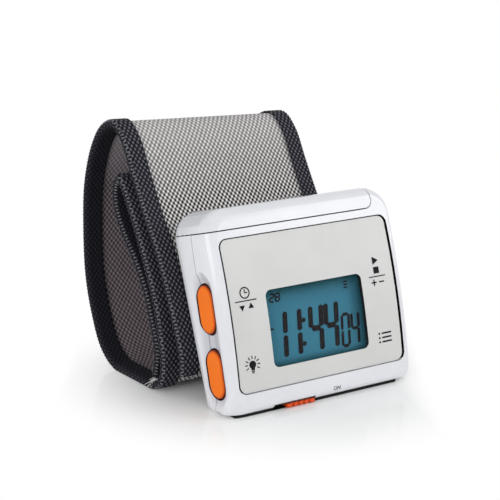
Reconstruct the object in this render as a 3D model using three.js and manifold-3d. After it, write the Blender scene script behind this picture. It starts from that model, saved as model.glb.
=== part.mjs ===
// Wrist-worn vibrating alarm clock on a woven strap that closes with hook and loop.
// Millimetres. X runs to the right of the face, Y away from the viewer and Z up.
// The clock stands on the foot of its case and leans back on its closed strap loop.
// The case is drawn in a frame of its own, which is then leaned back: the middle of the
// face plate is the origin, Y is the depth behind the face and Z runs up along it.

import * as THREE from 'three';
import { mergeVertices } from 'three/addons/utils/BufferGeometryUtils.js';
import Module from 'manifold-3d';

const wasm = await Module();
wasm.setup();

// Fits
const SEAM = 0.3;
const CLEARANCE = 0.3;
const REACH = 80;

// Case
const LEAN = THREE.MathUtils.degToRad(15);
const CASE_WIDTH = 57;
const CASE_TOP = 26.5;
const CASE_FOOT = 25.4;
const DEPTH_TOP = 19.5;
const DEPTH_FOOT = 14.6;
const FACE_RADIUS = 165;
const TOP_CORNER = 6.8;
const FOOT_CORNER = 1.2;
const FACE_FOOT_CORNER = 6;
const FRONT_ROUND = 3;
const FRONT_ROUND_DEPTH = 4.4;
const BACK_ROUND = 4;
const CAVITY_ROUND = 1.4;
const WALL = 1.8;
const FRONT_WALL = 2.4;
const PARTING_DEPTH = 8.4;
const FOOT_GAP = 0.85;
const ROUND_STEPS = 5;
const CORNER_STEPS = 6;
const SIDE_STEPS = 6;

// Battery door
const DOOR_HEIGHT = 5.4;
const DOOR_END = 22.2;
const DOOR_CORNER = 2.2;
const TONGUE_LENGTH = 1.1;
const TONGUE_ROOT = 7;
const TONGUE_WIDTH = 1;
const TONGUE_HEIGHT = 1;

// Face plate and its window
const PLATE_WIDTH = 50;
const PLATE_HEIGHT = 37.6;
const PLATE_CORNER = 2;
const PLATE_THICKNESS = 0.7;
const PLATE_SINK = 0.35;
const PLATE_GAP = 0.3;
const PLATE_SIDE_GAP = 0.6;
const WINDOW_WIDTH = 29.3;
const WINDOW_HEIGHT = 19.2;
const WINDOW_CORNER = 1.6;
const WINDOW_DROP = 4.5;

// Display stack behind the window
const LENS_THICKNESS = 0.8;
const LENS_DEPTH = 1.95;
const LENS_LAP = 0.3;
const LCD_LAP = 2.4;
const LCD_THICKNESS = 1.8;
const BACKLIGHT_THICKNESS = 2;
const BACKLIGHT_LAP = 0.9;
const ZEBRA_HEIGHT = 1.7;

// Circuit board
const BOARD_WIDTH = 44.8;
const BOARD_GAP = 0.5;
const BOARD_FOOT = -17.3;
const BOARD_TAB_GAP = 0.44;
const BOARD_THICKNESS = 1;
const STANDOFF_RADIUS = 1.3;
const STANDOFF_X = 20;
const STANDOFF_Z = [7.5, -14.5];

// Side buttons, two on each side, in one long scooped groove
const BUTTON_DEPTH = 6.9;
const BUTTON_LENGTH = 12.2;
const BUTTON_WIDTH = 7;
const BUTTON_MIDDLE = -5.4;
const BUTTON_SPACE = 3.8;
const BUTTON_SINK = 0.3;
const BUTTON_ROUND = 0.7;
const BUTTON_TRAVEL = 0.6;
const FLANGE_LAP = 0.6;
const FLANGE_WIDTH = 2.8;
const FLANGE_THICKNESS = 1;
const STEM_SIZE = 2.4;
const GROOVE_WIDTH = 9.8;
const GROOVE_SAG = 1.2;
const GROOVE_ABOVE = 3.2;
const GROOVE_BELOW = 2.3;

// Push switches behind the buttons
const SWITCH_LENGTH = 3.4;
const SWITCH_HEIGHT = 4.4;
const SWITCH_DEPTH = 3;
const PLUNGER_RADIUS = 0.8;
const PLUNGER_PROUD = 1.2;

// Slide switch under the foot
const SLIDE_X = -7.5;
const SLIDE_WIDTH = 8.2;
const SLIDE_TRAVEL = 3.6;
const SLIDE_FRONT = 2.3;
const SLIDE_BACK = 5.7;
const SLIDE_HEIGHT = 1.1;
const SLIDE_LIFT = 0.2;
const SLIDE_RIDGES = 4;
const SLIDE_RIDGE_DEPTH = 0.35;
const SLIDE_STEM_WIDTH = 2;
const SLIDE_STEM_DEPTH = 1.2;
const SLIDE_STEM_REACH = 1.5;
const SLIDE_BODY_HEIGHT = 3.8;
const SLIDE_BODY_MARGIN = 1.4;

// Battery cell, its shelf and its contacts
const CELL_LENGTH = 44.5;
const CELL_RADIUS = 5.25;
const CELL_NUB_RADIUS = 1.9;
const CELL_NUB = 1;
const CELL_EDGE = 0.5;
const CELL_HEADROOM = 1.8;
const SHELF_THICKNESS = 1.2;
const CRADLE_THICKNESS = 1.5;
const CRADLE_HEIGHT = 3.2;
const CRADLE_X = 12;
const CONTACT_THICKNESS = 0.5;
const CONTACT_SIZE = 7;
const LEAF_THICKNESS = 0.4;
const LEAF_BULGE = 1.9;
const CONTACT_RIB = 1;
const CONTACT_RIB_DROP = 0.8;

// Vibration motor
const MOTOR_RADIUS = 2.3;
const MOTOR_LENGTH = 11;
const MOTOR_X = -2;
const MOTOR_Z = -10;
const MOTOR_DEPTH = 11.3;
const MOTOR_BORE = 0.8;
const SHAFT_RADIUS = 0.5;
const SHAFT_LENGTH = 8;
const SHAFT_IN_CAN = 2;
const WEIGHT_RADIUS = 2.3;
const WEIGHT_LENGTH = 4.4;
const WEIGHT_GAP = 1;
const SADDLE_THICKNESS = 1.4;
const SADDLE_HEIGHT = 7.4;

// Case screws at the foot
const BOSS_RADIUS = 2.2;
const BOSS_X = 18.8;
const BOSS_Z = -19.8;
const PILOT_RADIUS = 0.8;
const SCREW_HEAD_RADIUS = 1.6;
const SCREW_HEAD_DEPTH = 1.4;

// Strap
const STRAP_WIDTH = 53.6;
const STRAP_LEFT = -30.8;
const LOOP_DEPTH = 42.2;
const LOOP_HEIGHT = 66.2;
// How far the strap lies to the left, at equal steps along its route
const STRAP_DRIFTS = [0, 2.1, 3.6, 2.4, 4.2, 2.4];
const STRAP_TAPER = 0.035;
const BAND_THICKNESS = 0.9;
const BINDING_WIDTH = 5;
const BINDING_THICKNESS = 2.3;
const BINDING_WALL = 0.4;
const BINDING_FOLD = 1;
const STRAP_STEPS = 2;
const STRAP_STANDOFF = 0.4;
const TAIL_STANDOFF = 2;
const PATCH_THICKNESS = 0.55;
const PATCH_MARGIN = 9;
const LOOP_PATCH_STEPS = [0, 1.6];
const HOOK_PATCH_STEPS = [-2.5, -1];

// Keeper that clamps the strap to the back of the case
const KEEPER_WIDTH = 34;
const KEEPER_HEIGHT = 14;
const KEEPER_THICKNESS = 1;
const KEEPER_CORNER = 3;
const KEEPER_Z = 4;
const STUD_RADIUS = 1.7;
const STUD_SPACING = 24;

// Places worked out from the sizes above
const HALF_WIDTH = CASE_WIDTH / 2;
const WALL_INSIDE = HALF_WIDTH - WALL;
const LCD_DEPTH = LENS_DEPTH + LENS_THICKNESS + CLEARANCE;
const BACKLIGHT_DEPTH = LCD_DEPTH + LCD_THICKNESS + CLEARANCE;
const BOARD_DEPTH = BACKLIGHT_DEPTH + BACKLIGHT_THICKNESS + CLEARANCE;
const BOARD_BACK = BOARD_DEPTH + BOARD_THICKNESS;
const LCD_WIDTH = WINDOW_WIDTH + 2 * LCD_LAP;
const LCD_HEIGHT = WINDOW_HEIGHT + 2 * LCD_LAP + 1;
const FLANGE_OUTSIDE = WALL_INSIDE - CLEARANCE;
const SWITCH_OUTSIDE = BOARD_WIDTH / 2 - CLEARANCE;
const SWITCH_MIDDLE = BOARD_DEPTH - CLEARANCE - SWITCH_DEPTH / 2;
const PLUNGER_TIP = SWITCH_OUTSIDE + PLUNGER_PROUD;
const STEM_TIP = PLUNGER_TIP + CLEARANCE;
const DOOR_SEAM = CASE_TOP - DOOR_HEIGHT;
const CONTACT_RIB_TOP = DOOR_SEAM - CONTACT_RIB_DROP;
const SHELF_TOP = CASE_TOP - WALL - CELL_HEADROOM - 2 * CELL_RADIUS - CLEARANCE;
const SHELF_Z = SHELF_TOP - SHELF_THICKNESS;
const BOARD_TOP = SHELF_Z - BOARD_GAP;
const CELL_Z = SHELF_TOP + CLEARANCE + CELL_RADIUS;
const CELL_LEFT = -CELL_LENGTH / 2;
const CASE_LIFT = CASE_FOOT * Math.cos(LEAN);
const BUTTON_Z = [1, -1].map((side) => BUTTON_MIDDLE + (side * (BUTTON_LENGTH + BUTTON_SPACE)) / 2);
const GROOVE_TOP = BUTTON_Z[0] + BUTTON_LENGTH / 2 + GROOVE_ABOVE;
const GROOVE_FOOT = BUTTON_Z[1] - BUTTON_LENGTH / 2 - GROOVE_BELOW;

const sag = (z) => (z * z) / (2 * FACE_RADIUS);
const backDepth = (z) => DEPTH_FOOT + ((DEPTH_TOP - DEPTH_FOOT) * (z + CASE_FOOT)) / (CASE_TOP + CASE_FOOT);
const footHeight = (y) => y * Math.tan(LEAN) - CASE_FOOT;
const frontInside = (z) => FRONT_WALL + sag(z);
const footInside = (y) => footHeight(y) + WALL;
const backInside = (z) => backDepth(z) - WALL;
const CELL_DEPTH = (frontInside(CELL_Z) + backInside(CELL_Z)) / 2;
const BOARD_TAB_FOOT = footInside(BOARD_BACK) + BOARD_TAB_GAP;
const SLIDE_TOP = footHeight(SLIDE_BACK - SLIDE_STEM_DEPTH) + SLIDE_HEIGHT;
const SLIDE_BODY_FOOT = footInside(BOARD_DEPTH - CLEARANCE) + CLEARANCE;
const SLIDE_BODY_TOP = SLIDE_BODY_FOOT + SLIDE_BODY_HEIGHT;
const SLIDE_STEM_TOP = SLIDE_BODY_FOOT + SLIDE_STEM_REACH;

// Closed solid through a row of rings with equal point counts; caps lists a ring's end faces.
function loft(rings, caps) {
  const count = rings[0].length;
  const positions = rings.flat().flatMap((p) => [p.x, p.y, p.z]);
  const index = [];
  for (let r = 0; r + 1 < rings.length; r += 1) {
    for (let i = 0; i < count; i += 1) {
      const a = r * count + i;
      const b = r * count + ((i + 1) % count);
      index.push(a, b, b + count, a, b + count, a + count);
    }
  }
  const last = (rings.length - 1) * count;
  for (const [a, b, c] of caps) {
    index.push(a, c, b, last + a, last + b, last + c);
  }
  const geometry = new THREE.BufferGeometry();
  geometry.setAttribute('position', new THREE.Float32BufferAttribute(positions, 3));
  geometry.setIndex(index);
  return outward(geometry);
}

// Turns every face over when the signed volume shows that they point inward.
function outward(geometry) {
  const at = geometry.getAttribute('position');
  const index = geometry.getIndex().array;
  const [a, b, c] = [new THREE.Vector3(), new THREE.Vector3(), new THREE.Vector3()];
  let volume = 0;
  for (let i = 0; i < index.length; i += 3) {
    a.fromBufferAttribute(at, index[i]);
    b.fromBufferAttribute(at, index[i + 1]);
    c.fromBufferAttribute(at, index[i + 2]);
    volume += a.dot(b.cross(c));
  }
  if (volume < 0) {
    geometry.setIndex(Array.from(index).reverse());
  }
  return geometry;
}

// Boolean work on closed geometries
function solid(geometry) {
  const bare = geometry.clone();
  bare.deleteAttribute('normal');
  bare.deleteAttribute('uv');
  const merged = mergeVertices(bare, 1e-4);
  const vertProperties = new Float32Array(merged.getAttribute('position').array);
  const triVerts = new Uint32Array(merged.getIndex().array);
  return new wasm.Manifold(new wasm.Mesh({ numProp: 3, vertProperties, triVerts }));
}

const join = (...parts) => parts.reduce((sum, part) => sum.add(part));
const cut = (body, ...tools) => tools.reduce((rest, tool) => rest.subtract(tool), body);

function toGeometry(manifold) {
  const { vertProperties, triVerts } = manifold.getMesh();
  const geometry = new THREE.BufferGeometry();
  geometry.setAttribute('position', new THREE.BufferAttribute(new Float32Array(vertProperties), 3));
  geometry.setIndex(new THREE.BufferAttribute(new Uint32Array(triVerts), 1));
  geometry.computeVertexNormals();
  return geometry;
}

// Extrusions of a flat outline: drawn in (y, z) and run along X, or drawn in (x, z) and run along Y
const BASIS_X = new THREE.Matrix4().makeBasis(
  new THREE.Vector3(0, 1, 0), new THREE.Vector3(0, 0, 1), new THREE.Vector3(1, 0, 0));
const BASIS_Y = new THREE.Matrix4().makeBasis(
  new THREE.Vector3(1, 0, 0), new THREE.Vector3(0, 0, 1), new THREE.Vector3(0, -1, 0));

function alongX(shape, x0, x1, curveSegments = 10) {
  const geometry = new THREE.ExtrudeGeometry(shape, { depth: x1 - x0, bevelEnabled: false, curveSegments });
  return solid(geometry.applyMatrix4(BASIS_X).translate(x0, 0, 0));
}

function alongY(shape, y0, y1, curveSegments = 8) {
  const geometry = new THREE.ExtrudeGeometry(shape, { depth: y1 - y0, bevelEnabled: false, curveSegments });
  return solid(geometry.applyMatrix4(BASIS_Y).translate(0, y1, 0));
}

function box(x0, x1, y0, y1, z0, z1) {
  const geometry = new THREE.BoxGeometry(x1 - x0, y1 - y0, z1 - z0);
  return solid(geometry.translate((x0 + x1) / 2, (y0 + y1) / 2, (z0 + z1) / 2));
}

function rodX(radius, x0, x1, y, z, sides = 24) {
  const geometry = new THREE.CylinderGeometry(radius, radius, x1 - x0, sides);
  return solid(geometry.rotateZ(-Math.PI / 2).translate((x0 + x1) / 2, y, z));
}

function rodY(radius, y0, y1, x, z, sides = 20) {
  const geometry = new THREE.CylinderGeometry(radius, radius, y1 - y0, sides);
  return solid(geometry.translate(x, (y0 + y1) / 2, z));
}

// Rectangle with round corners about a middle point
function roundRect(u, v, width, height, radius) {
  const [w, h] = [width / 2, height / 2];
  const shape = new THREE.Shape();
  shape.absarc(u + w - radius, v - h + radius, radius, -Math.PI / 2, 0, false);
  shape.absarc(u + w - radius, v + h - radius, radius, 0, Math.PI / 2, false);
  shape.absarc(u - w + radius, v + h - radius, radius, Math.PI / 2, Math.PI, false);
  shape.absarc(u - w + radius, v - h + radius, radius, Math.PI, 1.5 * Math.PI, false);
  shape.closePath();
  return shape;
}

// Layer of the barrel-shaped face between two depths, wider than the case
function faceLayer(depth0, depth1) {
  const half = CASE_TOP + CASE_FOOT;
  const shape = new THREE.Shape();
  const steps = 2 * SIDE_STEPS;
  const at = (i) => -half / 2 + (half * i) / steps;
  shape.moveTo(depth0 + sag(at(0)), at(0));
  for (let i = 1; i <= steps; i += 1) {
    shape.lineTo(depth0 + sag(at(i)), at(i));
  }
  for (let i = steps; i >= 0; i -= 1) {
    shape.lineTo(depth1 + sag(at(i)), at(i));
  }
  shape.closePath();
  return alongX(shape, -CASE_WIDTH, CASE_WIDTH);
}

// One ring of the case, symmetric about X = 0: the right half from foot to top, then the left half back
function caseRing(inset, depthOf, footRadius) {
  const half = HALF_WIDTH - inset;
  const top = CASE_TOP - inset;
  let foot = -CASE_FOOT + inset;
  for (let i = 0; i < SIDE_STEPS; i += 1) {
    foot = footHeight(depthOf(foot)) + inset;
  }
  const topRadius = Math.max(TOP_CORNER - inset, CAVITY_ROUND / 2);
  const right = [];
  const arc = (x, z, radius, from) => {
    for (let i = 0; i <= CORNER_STEPS; i += 1) {
      const angle = from + (Math.PI / 2) * (i / CORNER_STEPS);
      right.push([x + radius * Math.cos(angle), z + radius * Math.sin(angle)]);
    }
  };
  arc(half - footRadius, foot + footRadius, footRadius, -Math.PI / 2);
  for (let i = 1; i < SIDE_STEPS; i += 1) {
    const share = i / SIDE_STEPS;
    right.push([half, THREE.MathUtils.lerp(foot + footRadius, top - topRadius, share)]);
  }
  arc(half - topRadius, top - topRadius, topRadius, 0);
  const left = right.map(([x, z]) => [-x, z]).reverse();
  return [...right, ...left].map(([x, z]) => new THREE.Vector3(x, depthOf(z), z));
}

// Case-shaped solid, drawn in by a wall: rounded front edge, straight sides and rounded back edge.
// The corners at the foot are round in the face and nearly square behind it.
function caseSolid(wall, frontWall, frontRound, frontRoundDepth, backRound) {
  const rings = [];
  const footRadius = (share) => Math.max(
    THREE.MathUtils.lerp(FOOT_CORNER, FACE_FOOT_CORNER, Math.sqrt(share)) - wall, CAVITY_ROUND / 2);
  for (let i = 0; i <= ROUND_STEPS; i += 1) {
    const angle = (Math.PI / 2) * (1 - i / ROUND_STEPS);
    const share = 1 - Math.cos(angle);
    const depth = frontWall + frontRoundDepth * (1 - Math.sin(angle));
    const bow = 1 - (depth - frontWall) / PARTING_DEPTH;
    rings.push(caseRing(wall + frontRound * share, (z) => depth + sag(z) * bow, footRadius(share)));
  }
  rings.push(caseRing(wall, () => PARTING_DEPTH, footRadius(0)));
  for (let i = 0; i <= ROUND_STEPS; i += 1) {
    const angle = (Math.PI / 2) * (i / ROUND_STEPS);
    const inset = wall + backRound * (1 - Math.cos(angle));
    const depthOf = (z) => backDepth(z) - wall - backRound * (1 - Math.sin(angle));
    rings.push(caseRing(inset, depthOf, footRadius(0)));
  }
  const count = rings[0].length;
  const caps = [];
  for (let i = 0; i + 1 < count / 2; i += 1) {
    const [a, b, c, d] = [i, i + 1, count - 2 - i, count - 1 - i];
    caps.push([a, b, c], [a, c, d]);
  }
  return solid(loft(rings, caps));
}

// Zone of the battery door: all above the seam, ending at the right with a round corner
function doorZone(grow) {
  const [seam, end] = [DOOR_SEAM - grow, DOOR_END + grow];
  const radius = DOOR_CORNER + grow;
  const shape = new THREE.Shape();
  shape.moveTo(-CASE_WIDTH, seam);
  shape.lineTo(end - radius, seam);
  shape.absarc(end - radius, seam + radius, radius, -Math.PI / 2, 0, false);
  shape.lineTo(end, REACH);
  shape.lineTo(-CASE_WIDTH, REACH);
  shape.closePath();
  return alongY(shape, -REACH, REACH);
}

const pill = (y, z, width, length) => roundRect(y, z, width, length, width / 2 - 1e-3);

// Scooped groove round the two buttons of one side, with a circular section and domed ends
function groove(side) {
  const half = GROOVE_WIDTH / 2;
  const radius = (half * half + GROOVE_SAG * GROOVE_SAG) / (2 * GROOVE_SAG);
  const opening = Math.asin(half / radius);
  const profile = [new THREE.Vector2(0, -GROOVE_SAG)];
  for (let i = 1; i <= ROUND_STEPS; i += 1) {
    const angle = (opening * i) / ROUND_STEPS;
    profile.push(new THREE.Vector2(radius * Math.sin(angle), radius - GROOVE_SAG - radius * Math.cos(angle)));
  }
  profile.push(new THREE.Vector2(half, GROOVE_SAG), new THREE.Vector2(0, GROOVE_SAG));
  const dome = (z) => {
    const lathe = new THREE.LatheGeometry(profile, 16).rotateZ(-Math.PI / 2);
    return solid(outward(mergeVertices(strip(lathe), 1e-4)).translate(HALF_WIDTH, BUTTON_DEPTH, z));
  };
  const section = new THREE.Shape();
  const rim = profile.slice(1, -1);
  section.moveTo(HALF_WIDTH - GROOVE_SAG, BUTTON_DEPTH);
  rim.forEach((p) => section.lineTo(HALF_WIDTH + p.y, BUTTON_DEPTH + p.x));
  [...rim].reverse().forEach((p) => section.lineTo(HALF_WIDTH + p.y, BUTTON_DEPTH - p.x));
  section.closePath();
  const run = new THREE.ExtrudeGeometry(section, {
    depth: GROOVE_TOP - GROOVE_FOOT - GROOVE_WIDTH, bevelEnabled: false,
  });
  const trough = solid(run.translate(0, 0, GROOVE_FOOT + half));
  const tool = join(trough, dome(GROOVE_TOP - half), dome(GROOVE_FOOT + half));
  return side > 0 ? tool : mirrorX(tool);
}

function strip(geometry) {
  geometry.deleteAttribute('normal');
  geometry.deleteAttribute('uv');
  return geometry;
}

const mirrorX = (manifold) => solid(outward(strip(toGeometry(manifold)).scale(-1, 1, 1)));
const onSide = (manifold, side) => (side > 0 ? manifold : mirrorX(manifold));

// Outlines of a button's cap and of the bar that holds it in, grown by a clearance
const capOutline = (z, grow) => pill(BUTTON_DEPTH, z, BUTTON_WIDTH + 2 * grow, BUTTON_LENGTH + 2 * grow);
const barOutline = (z, grow) => pill(BUTTON_DEPTH, z, FLANGE_WIDTH + 2 * grow,
  BUTTON_LENGTH + 2 * (CLEARANCE + FLANGE_LAP + grow));

// Openings that the buttons of one side pass through, with room for their bars
function buttonHoles(side) {
  const inner = FLANGE_OUTSIDE - BUTTON_TRAVEL - CLEARANCE;
  const holes = BUTTON_Z.map((z) => alongX(capOutline(z, CLEARANCE), inner, CASE_WIDTH, 5));
  const rooms = BUTTON_Z.map((z) => alongX(barOutline(z, CLEARANCE), STEM_TIP, FLANGE_OUTSIDE + CLEARANCE, 3));
  return onSide(join(...holes, ...rooms), side);
}

const caseOuter = caseSolid(0, 0, FRONT_ROUND, FRONT_ROUND_DEPTH, BACK_ROUND);
const caseCavity = caseSolid(WALL, FRONT_WALL, CAVITY_ROUND, CAVITY_ROUND, BACK_ROUND - WALL);
const caseShell = cut(caseOuter, caseCavity);
const sideCuts = [-1, 1].flatMap((side) => [groove(side), buttonHoles(side)]);
const housing = cut(caseShell, doorZone(SEAM / 2), ...sideCuts);

const plateOutline = (sideGap, gap) => roundRect(
  0, 0, PLATE_WIDTH + 2 * sideGap, PLATE_HEIGHT + 2 * gap, PLATE_CORNER + gap);
const windowOutline = (grow) => roundRect(
  0, -WINDOW_DROP, WINDOW_WIDTH + 2 * grow, WINDOW_HEIGHT + 2 * grow, WINDOW_CORNER + grow);
const lcdOutline = (grow) => roundRect(
  0, -WINDOW_DROP, LCD_WIDTH + 2 * grow, LCD_HEIGHT + 2 * grow, CLEARANCE + grow);

// Space below a level plane, a rise above the foot, from the front to a depth
function belowLevel(rise, x0, x1, back) {
  const shape = new THREE.Shape();
  shape.moveTo(-REACH, footHeight(-REACH) + rise);
  shape.lineTo(back, footHeight(back) + rise);
  shape.lineTo(back, -REACH);
  shape.lineTo(-REACH, -REACH);
  shape.closePath();
  return alongX(shape, x0, x1);
}

// Space that the slide switch's knob runs in: a notch in the foot and a slot for its stem
function slideSpace() {
  const half = SLIDE_WIDTH / 2 + CLEARANCE;
  const [stemFront, stemBack] = [SLIDE_BACK - SLIDE_STEM_DEPTH, SLIDE_BACK];
  const stemHalf = SLIDE_STEM_WIDTH / 2 + CLEARANCE;
  const notch = belowLevel(SLIDE_HEIGHT + CLEARANCE, SLIDE_X - half - SLIDE_TRAVEL, SLIDE_X + half,
    SLIDE_BACK + CLEARANCE);
  const slot = box(SLIDE_X - stemHalf - SLIDE_TRAVEL, SLIDE_X + stemHalf, stemFront - CLEARANCE,
    stemBack + CLEARANCE, SLIDE_TOP, SLIDE_STEM_TOP + CLEARANCE);
  return { notch, slot };
}

function frontHousing() {
  const half = cut(housing, box(-REACH, REACH, PARTING_DEPTH - SEAM / 2, REACH, -REACH, REACH));
  const floor = PLATE_SINK + PLATE_THICKNESS + CLEARANCE;
  const recess = alongY(plateOutline(PLATE_SIDE_GAP, PLATE_GAP), -REACH, REACH).intersect(faceLayer(-FRONT_ROUND, floor));
  const opening = alongY(windowOutline(LENS_LAP + CLEARANCE), -REACH, PARTING_DEPTH);
  const pocket = alongY(lcdOutline(CLEARANCE), LCD_DEPTH - CLEARANCE, PARTING_DEPTH);
  const { notch, slot } = slideSpace();
  const bosses = [-1, 1].map((side) => {
    const x = side * BOSS_X;
    const post = rodY(BOSS_RADIUS, FRONT_WALL, PARTING_DEPTH - SEAM / 2, x, BOSS_Z);
    return cut(post.intersect(caseOuter), rodY(PILOT_RADIUS, LCD_DEPTH, REACH, x, BOSS_Z));
  });
  const gap = belowLevel(FOOT_GAP / Math.cos(LEAN), -REACH, REACH, PARTING_DEPTH);
  return cut(join(half, ...bosses), recess, opening, pocket, notch, slot, gap);
}

// Shelf, cradles and contact ribs that hold the battery cell inside the back housing
function batteryTray() {
  const front = frontInside(SHELF_TOP) + CAVITY_ROUND;
  const back = backInside(SHELF_TOP) + WALL / 2;
  const half = WALL_INSIDE - CLEARANCE;
  const shelf = box(-half, half, front, back, SHELF_Z, SHELF_TOP);
  const seat = rodX(CELL_RADIUS + CLEARANCE, -REACH, REACH, CELL_DEPTH, CELL_Z, 32);
  const cradles = [-1, 1].map((side) => {
    const x = side * CRADLE_X;
    const block = box(x - CRADLE_THICKNESS / 2, x + CRADLE_THICKNESS / 2,
      front + CRADLE_THICKNESS, back - WALL, SHELF_Z, SHELF_TOP + CRADLE_HEIGHT);
    return cut(block, seat);
  });
  const ribs = [-1, 1].map((side) => {
    const inner = contactRibInside(side);
    const [x0, x1] = side > 0 ? [inner, inner + CONTACT_RIB] : [-inner - CONTACT_RIB, -inner];
    return box(x0, x1, CELL_DEPTH - CONTACT_SIZE / 2 - 1, CELL_DEPTH + CONTACT_SIZE / 2 + 1,
      SHELF_Z, CONTACT_RIB_TOP);
  });
  return [shelf, ...cradles, ...ribs];
}

function contactRibInside(side) {
  const end = CELL_LENGTH / 2 + CLEARANCE;
  return side > 0 ? end + CONTACT_THICKNESS + CLEARANCE : end + LEAF_BULGE + LEAF_THICKNESS;
}

function backHousing() {
  const half = cut(housing, box(-REACH, REACH, -REACH, PARTING_DEPTH + SEAM / 2, -REACH, REACH));
  const posts = STANDOFF_Z.flatMap((z) => [-1, 1].map((side) => rodY(
    STANDOFF_RADIUS, BOARD_BACK + CLEARANCE, backInside(z) + WALL / 2, side * STANDOFF_X, z, 12)));
  const motorSeat = rodX(MOTOR_RADIUS + CLEARANCE, -REACH, REACH, MOTOR_DEPTH, MOTOR_Z);
  const saddles = [0.2, 0.7].map((share) => {
    const x = MOTOR_X + share * MOTOR_LENGTH;
    const block = box(x, x + SADDLE_THICKNESS, MOTOR_DEPTH, backInside(MOTOR_Z) + WALL / 2,
      MOTOR_Z - SADDLE_HEIGHT / 2, MOTOR_Z + SADDLE_HEIGHT / 2);
    return cut(block, motorSeat);
  });
  const bosses = [-1, 1].map((side) => rodY(
    BOSS_RADIUS, PARTING_DEPTH + SEAM / 2, backInside(BOSS_Z) + WALL / 2, side * BOSS_X, BOSS_Z));
  const screws = [-1, 1].flatMap((side) => [
    rodY(PILOT_RADIUS, -REACH, REACH, side * BOSS_X, BOSS_Z),
    rodY(SCREW_HEAD_RADIUS, backDepth(BOSS_Z) - SCREW_HEAD_DEPTH, REACH, side * BOSS_X, BOSS_Z),
  ]);
  const inside = join(...bosses, ...posts, ...saddles, ...batteryTray()).intersect(caseOuter);
  return cut(join(half, inside), ...screws, ...sideCuts);
}

// Door over the battery cell, with two tongues that reach under the fixed end of the case
function batteryDoor() {
  const shell = caseShell.intersect(doorZone(-SEAM / 2));
  const z0 = DOOR_SEAM + SEAM;
  const z1 = z0 + TONGUE_HEIGHT;
  const rootX = DOOR_END - TONGUE_ROOT;
  const tip = DOOR_END + TONGUE_LENGTH;
  const front = frontInside(z1) + CLEARANCE;
  const back = backInside(z0) - CLEARANCE - TONGUE_WIDTH;
  const rootEnd = DOOR_END - DOOR_CORNER;
  const tongues = [
    box(rootX, tip, front, front + TONGUE_WIDTH, z0, z1),
    box(rootX, rootEnd, front - WALL / 2, front + TONGUE_WIDTH, z0, z1),
    box(rootX, tip, back - TONGUE_WIDTH, back, z0, z1),
    box(rootX, rootEnd, back - TONGUE_WIDTH, back + TONGUE_WIDTH + WALL / 2, z0, z1),
  ];
  return join(shell, ...tongues);
}

function facePlate() {
  const outline = plateOutline(0, 0);
  outline.holes.push(new THREE.Path(windowOutline(0).getPoints(8)));
  return alongY(outline, -REACH, REACH).intersect(faceLayer(PLATE_SINK, PLATE_SINK + PLATE_THICKNESS));
}

function circuitBoard() {
  const half = BOARD_WIDTH / 2;
  const tabHalf = SLIDE_WIDTH / 2 + SLIDE_BODY_MARGIN;
  const tabX = SLIDE_X - SLIDE_TRAVEL / 2;
  const shape = new THREE.Shape();
  shape.moveTo(-half, BOARD_TOP);
  shape.lineTo(-half, BOARD_FOOT);
  shape.lineTo(tabX - tabHalf, BOARD_FOOT);
  shape.lineTo(tabX - tabHalf, BOARD_TAB_FOOT);
  shape.lineTo(tabX + tabHalf, BOARD_TAB_FOOT);
  shape.lineTo(tabX + tabHalf, BOARD_FOOT);
  shape.lineTo(half, BOARD_FOOT);
  shape.lineTo(half, BOARD_TOP);
  shape.closePath();
  return alongY(shape, BOARD_DEPTH, BOARD_BACK);
}

// Button: a cap with a rounded edge, a bar behind the wall that holds it in and a stem to its switch
function button(z) {
  const face = HALF_WIDTH - BUTTON_SINK;
  const cap = new THREE.ExtrudeGeometry(capOutline(z, -BUTTON_ROUND), {
    depth: face - FLANGE_OUTSIDE - BUTTON_ROUND,
    bevelSize: BUTTON_ROUND,
    bevelThickness: BUTTON_ROUND,
    bevelSegments: 3,
    curveSegments: 5,
  });
  const capSolid = solid(cap.applyMatrix4(BASIS_X).translate(FLANGE_OUTSIDE, 0, 0));
  const flange = alongX(barOutline(z, 0), FLANGE_OUTSIDE - FLANGE_THICKNESS, FLANGE_OUTSIDE, 4);
  const half = STEM_SIZE / 2;
  const stem = box(STEM_TIP, FLANGE_OUTSIDE, SWITCH_MIDDLE - half, SWITCH_MIDDLE + half, z - half, z + half);
  const inside = box(FLANGE_OUTSIDE - CLEARANCE / 2, REACH, -REACH, REACH, -REACH, REACH);
  return join(capSolid.intersect(inside), flange, stem);
}

function pushSwitch(z) {
  const body = box(SWITCH_OUTSIDE - SWITCH_LENGTH, SWITCH_OUTSIDE,
    SWITCH_MIDDLE - SWITCH_DEPTH / 2, SWITCH_MIDDLE + SWITCH_DEPTH / 2,
    z - SWITCH_HEIGHT / 2, z + SWITCH_HEIGHT / 2);
  const bore = SWITCH_OUTSIDE - plungerLength() - BUTTON_TRAVEL - CLEARANCE + PLUNGER_PROUD;
  return cut(body, rodX(PLUNGER_RADIUS + CLEARANCE, bore, REACH, SWITCH_MIDDLE, z, 16));
}

const plungerLength = () => PLUNGER_PROUD + SWITCH_LENGTH / 3;
const plunger = (z) => rodX(PLUNGER_RADIUS, PLUNGER_TIP - plungerLength(), PLUNGER_TIP, SWITCH_MIDDLE, z, 16);

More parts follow.
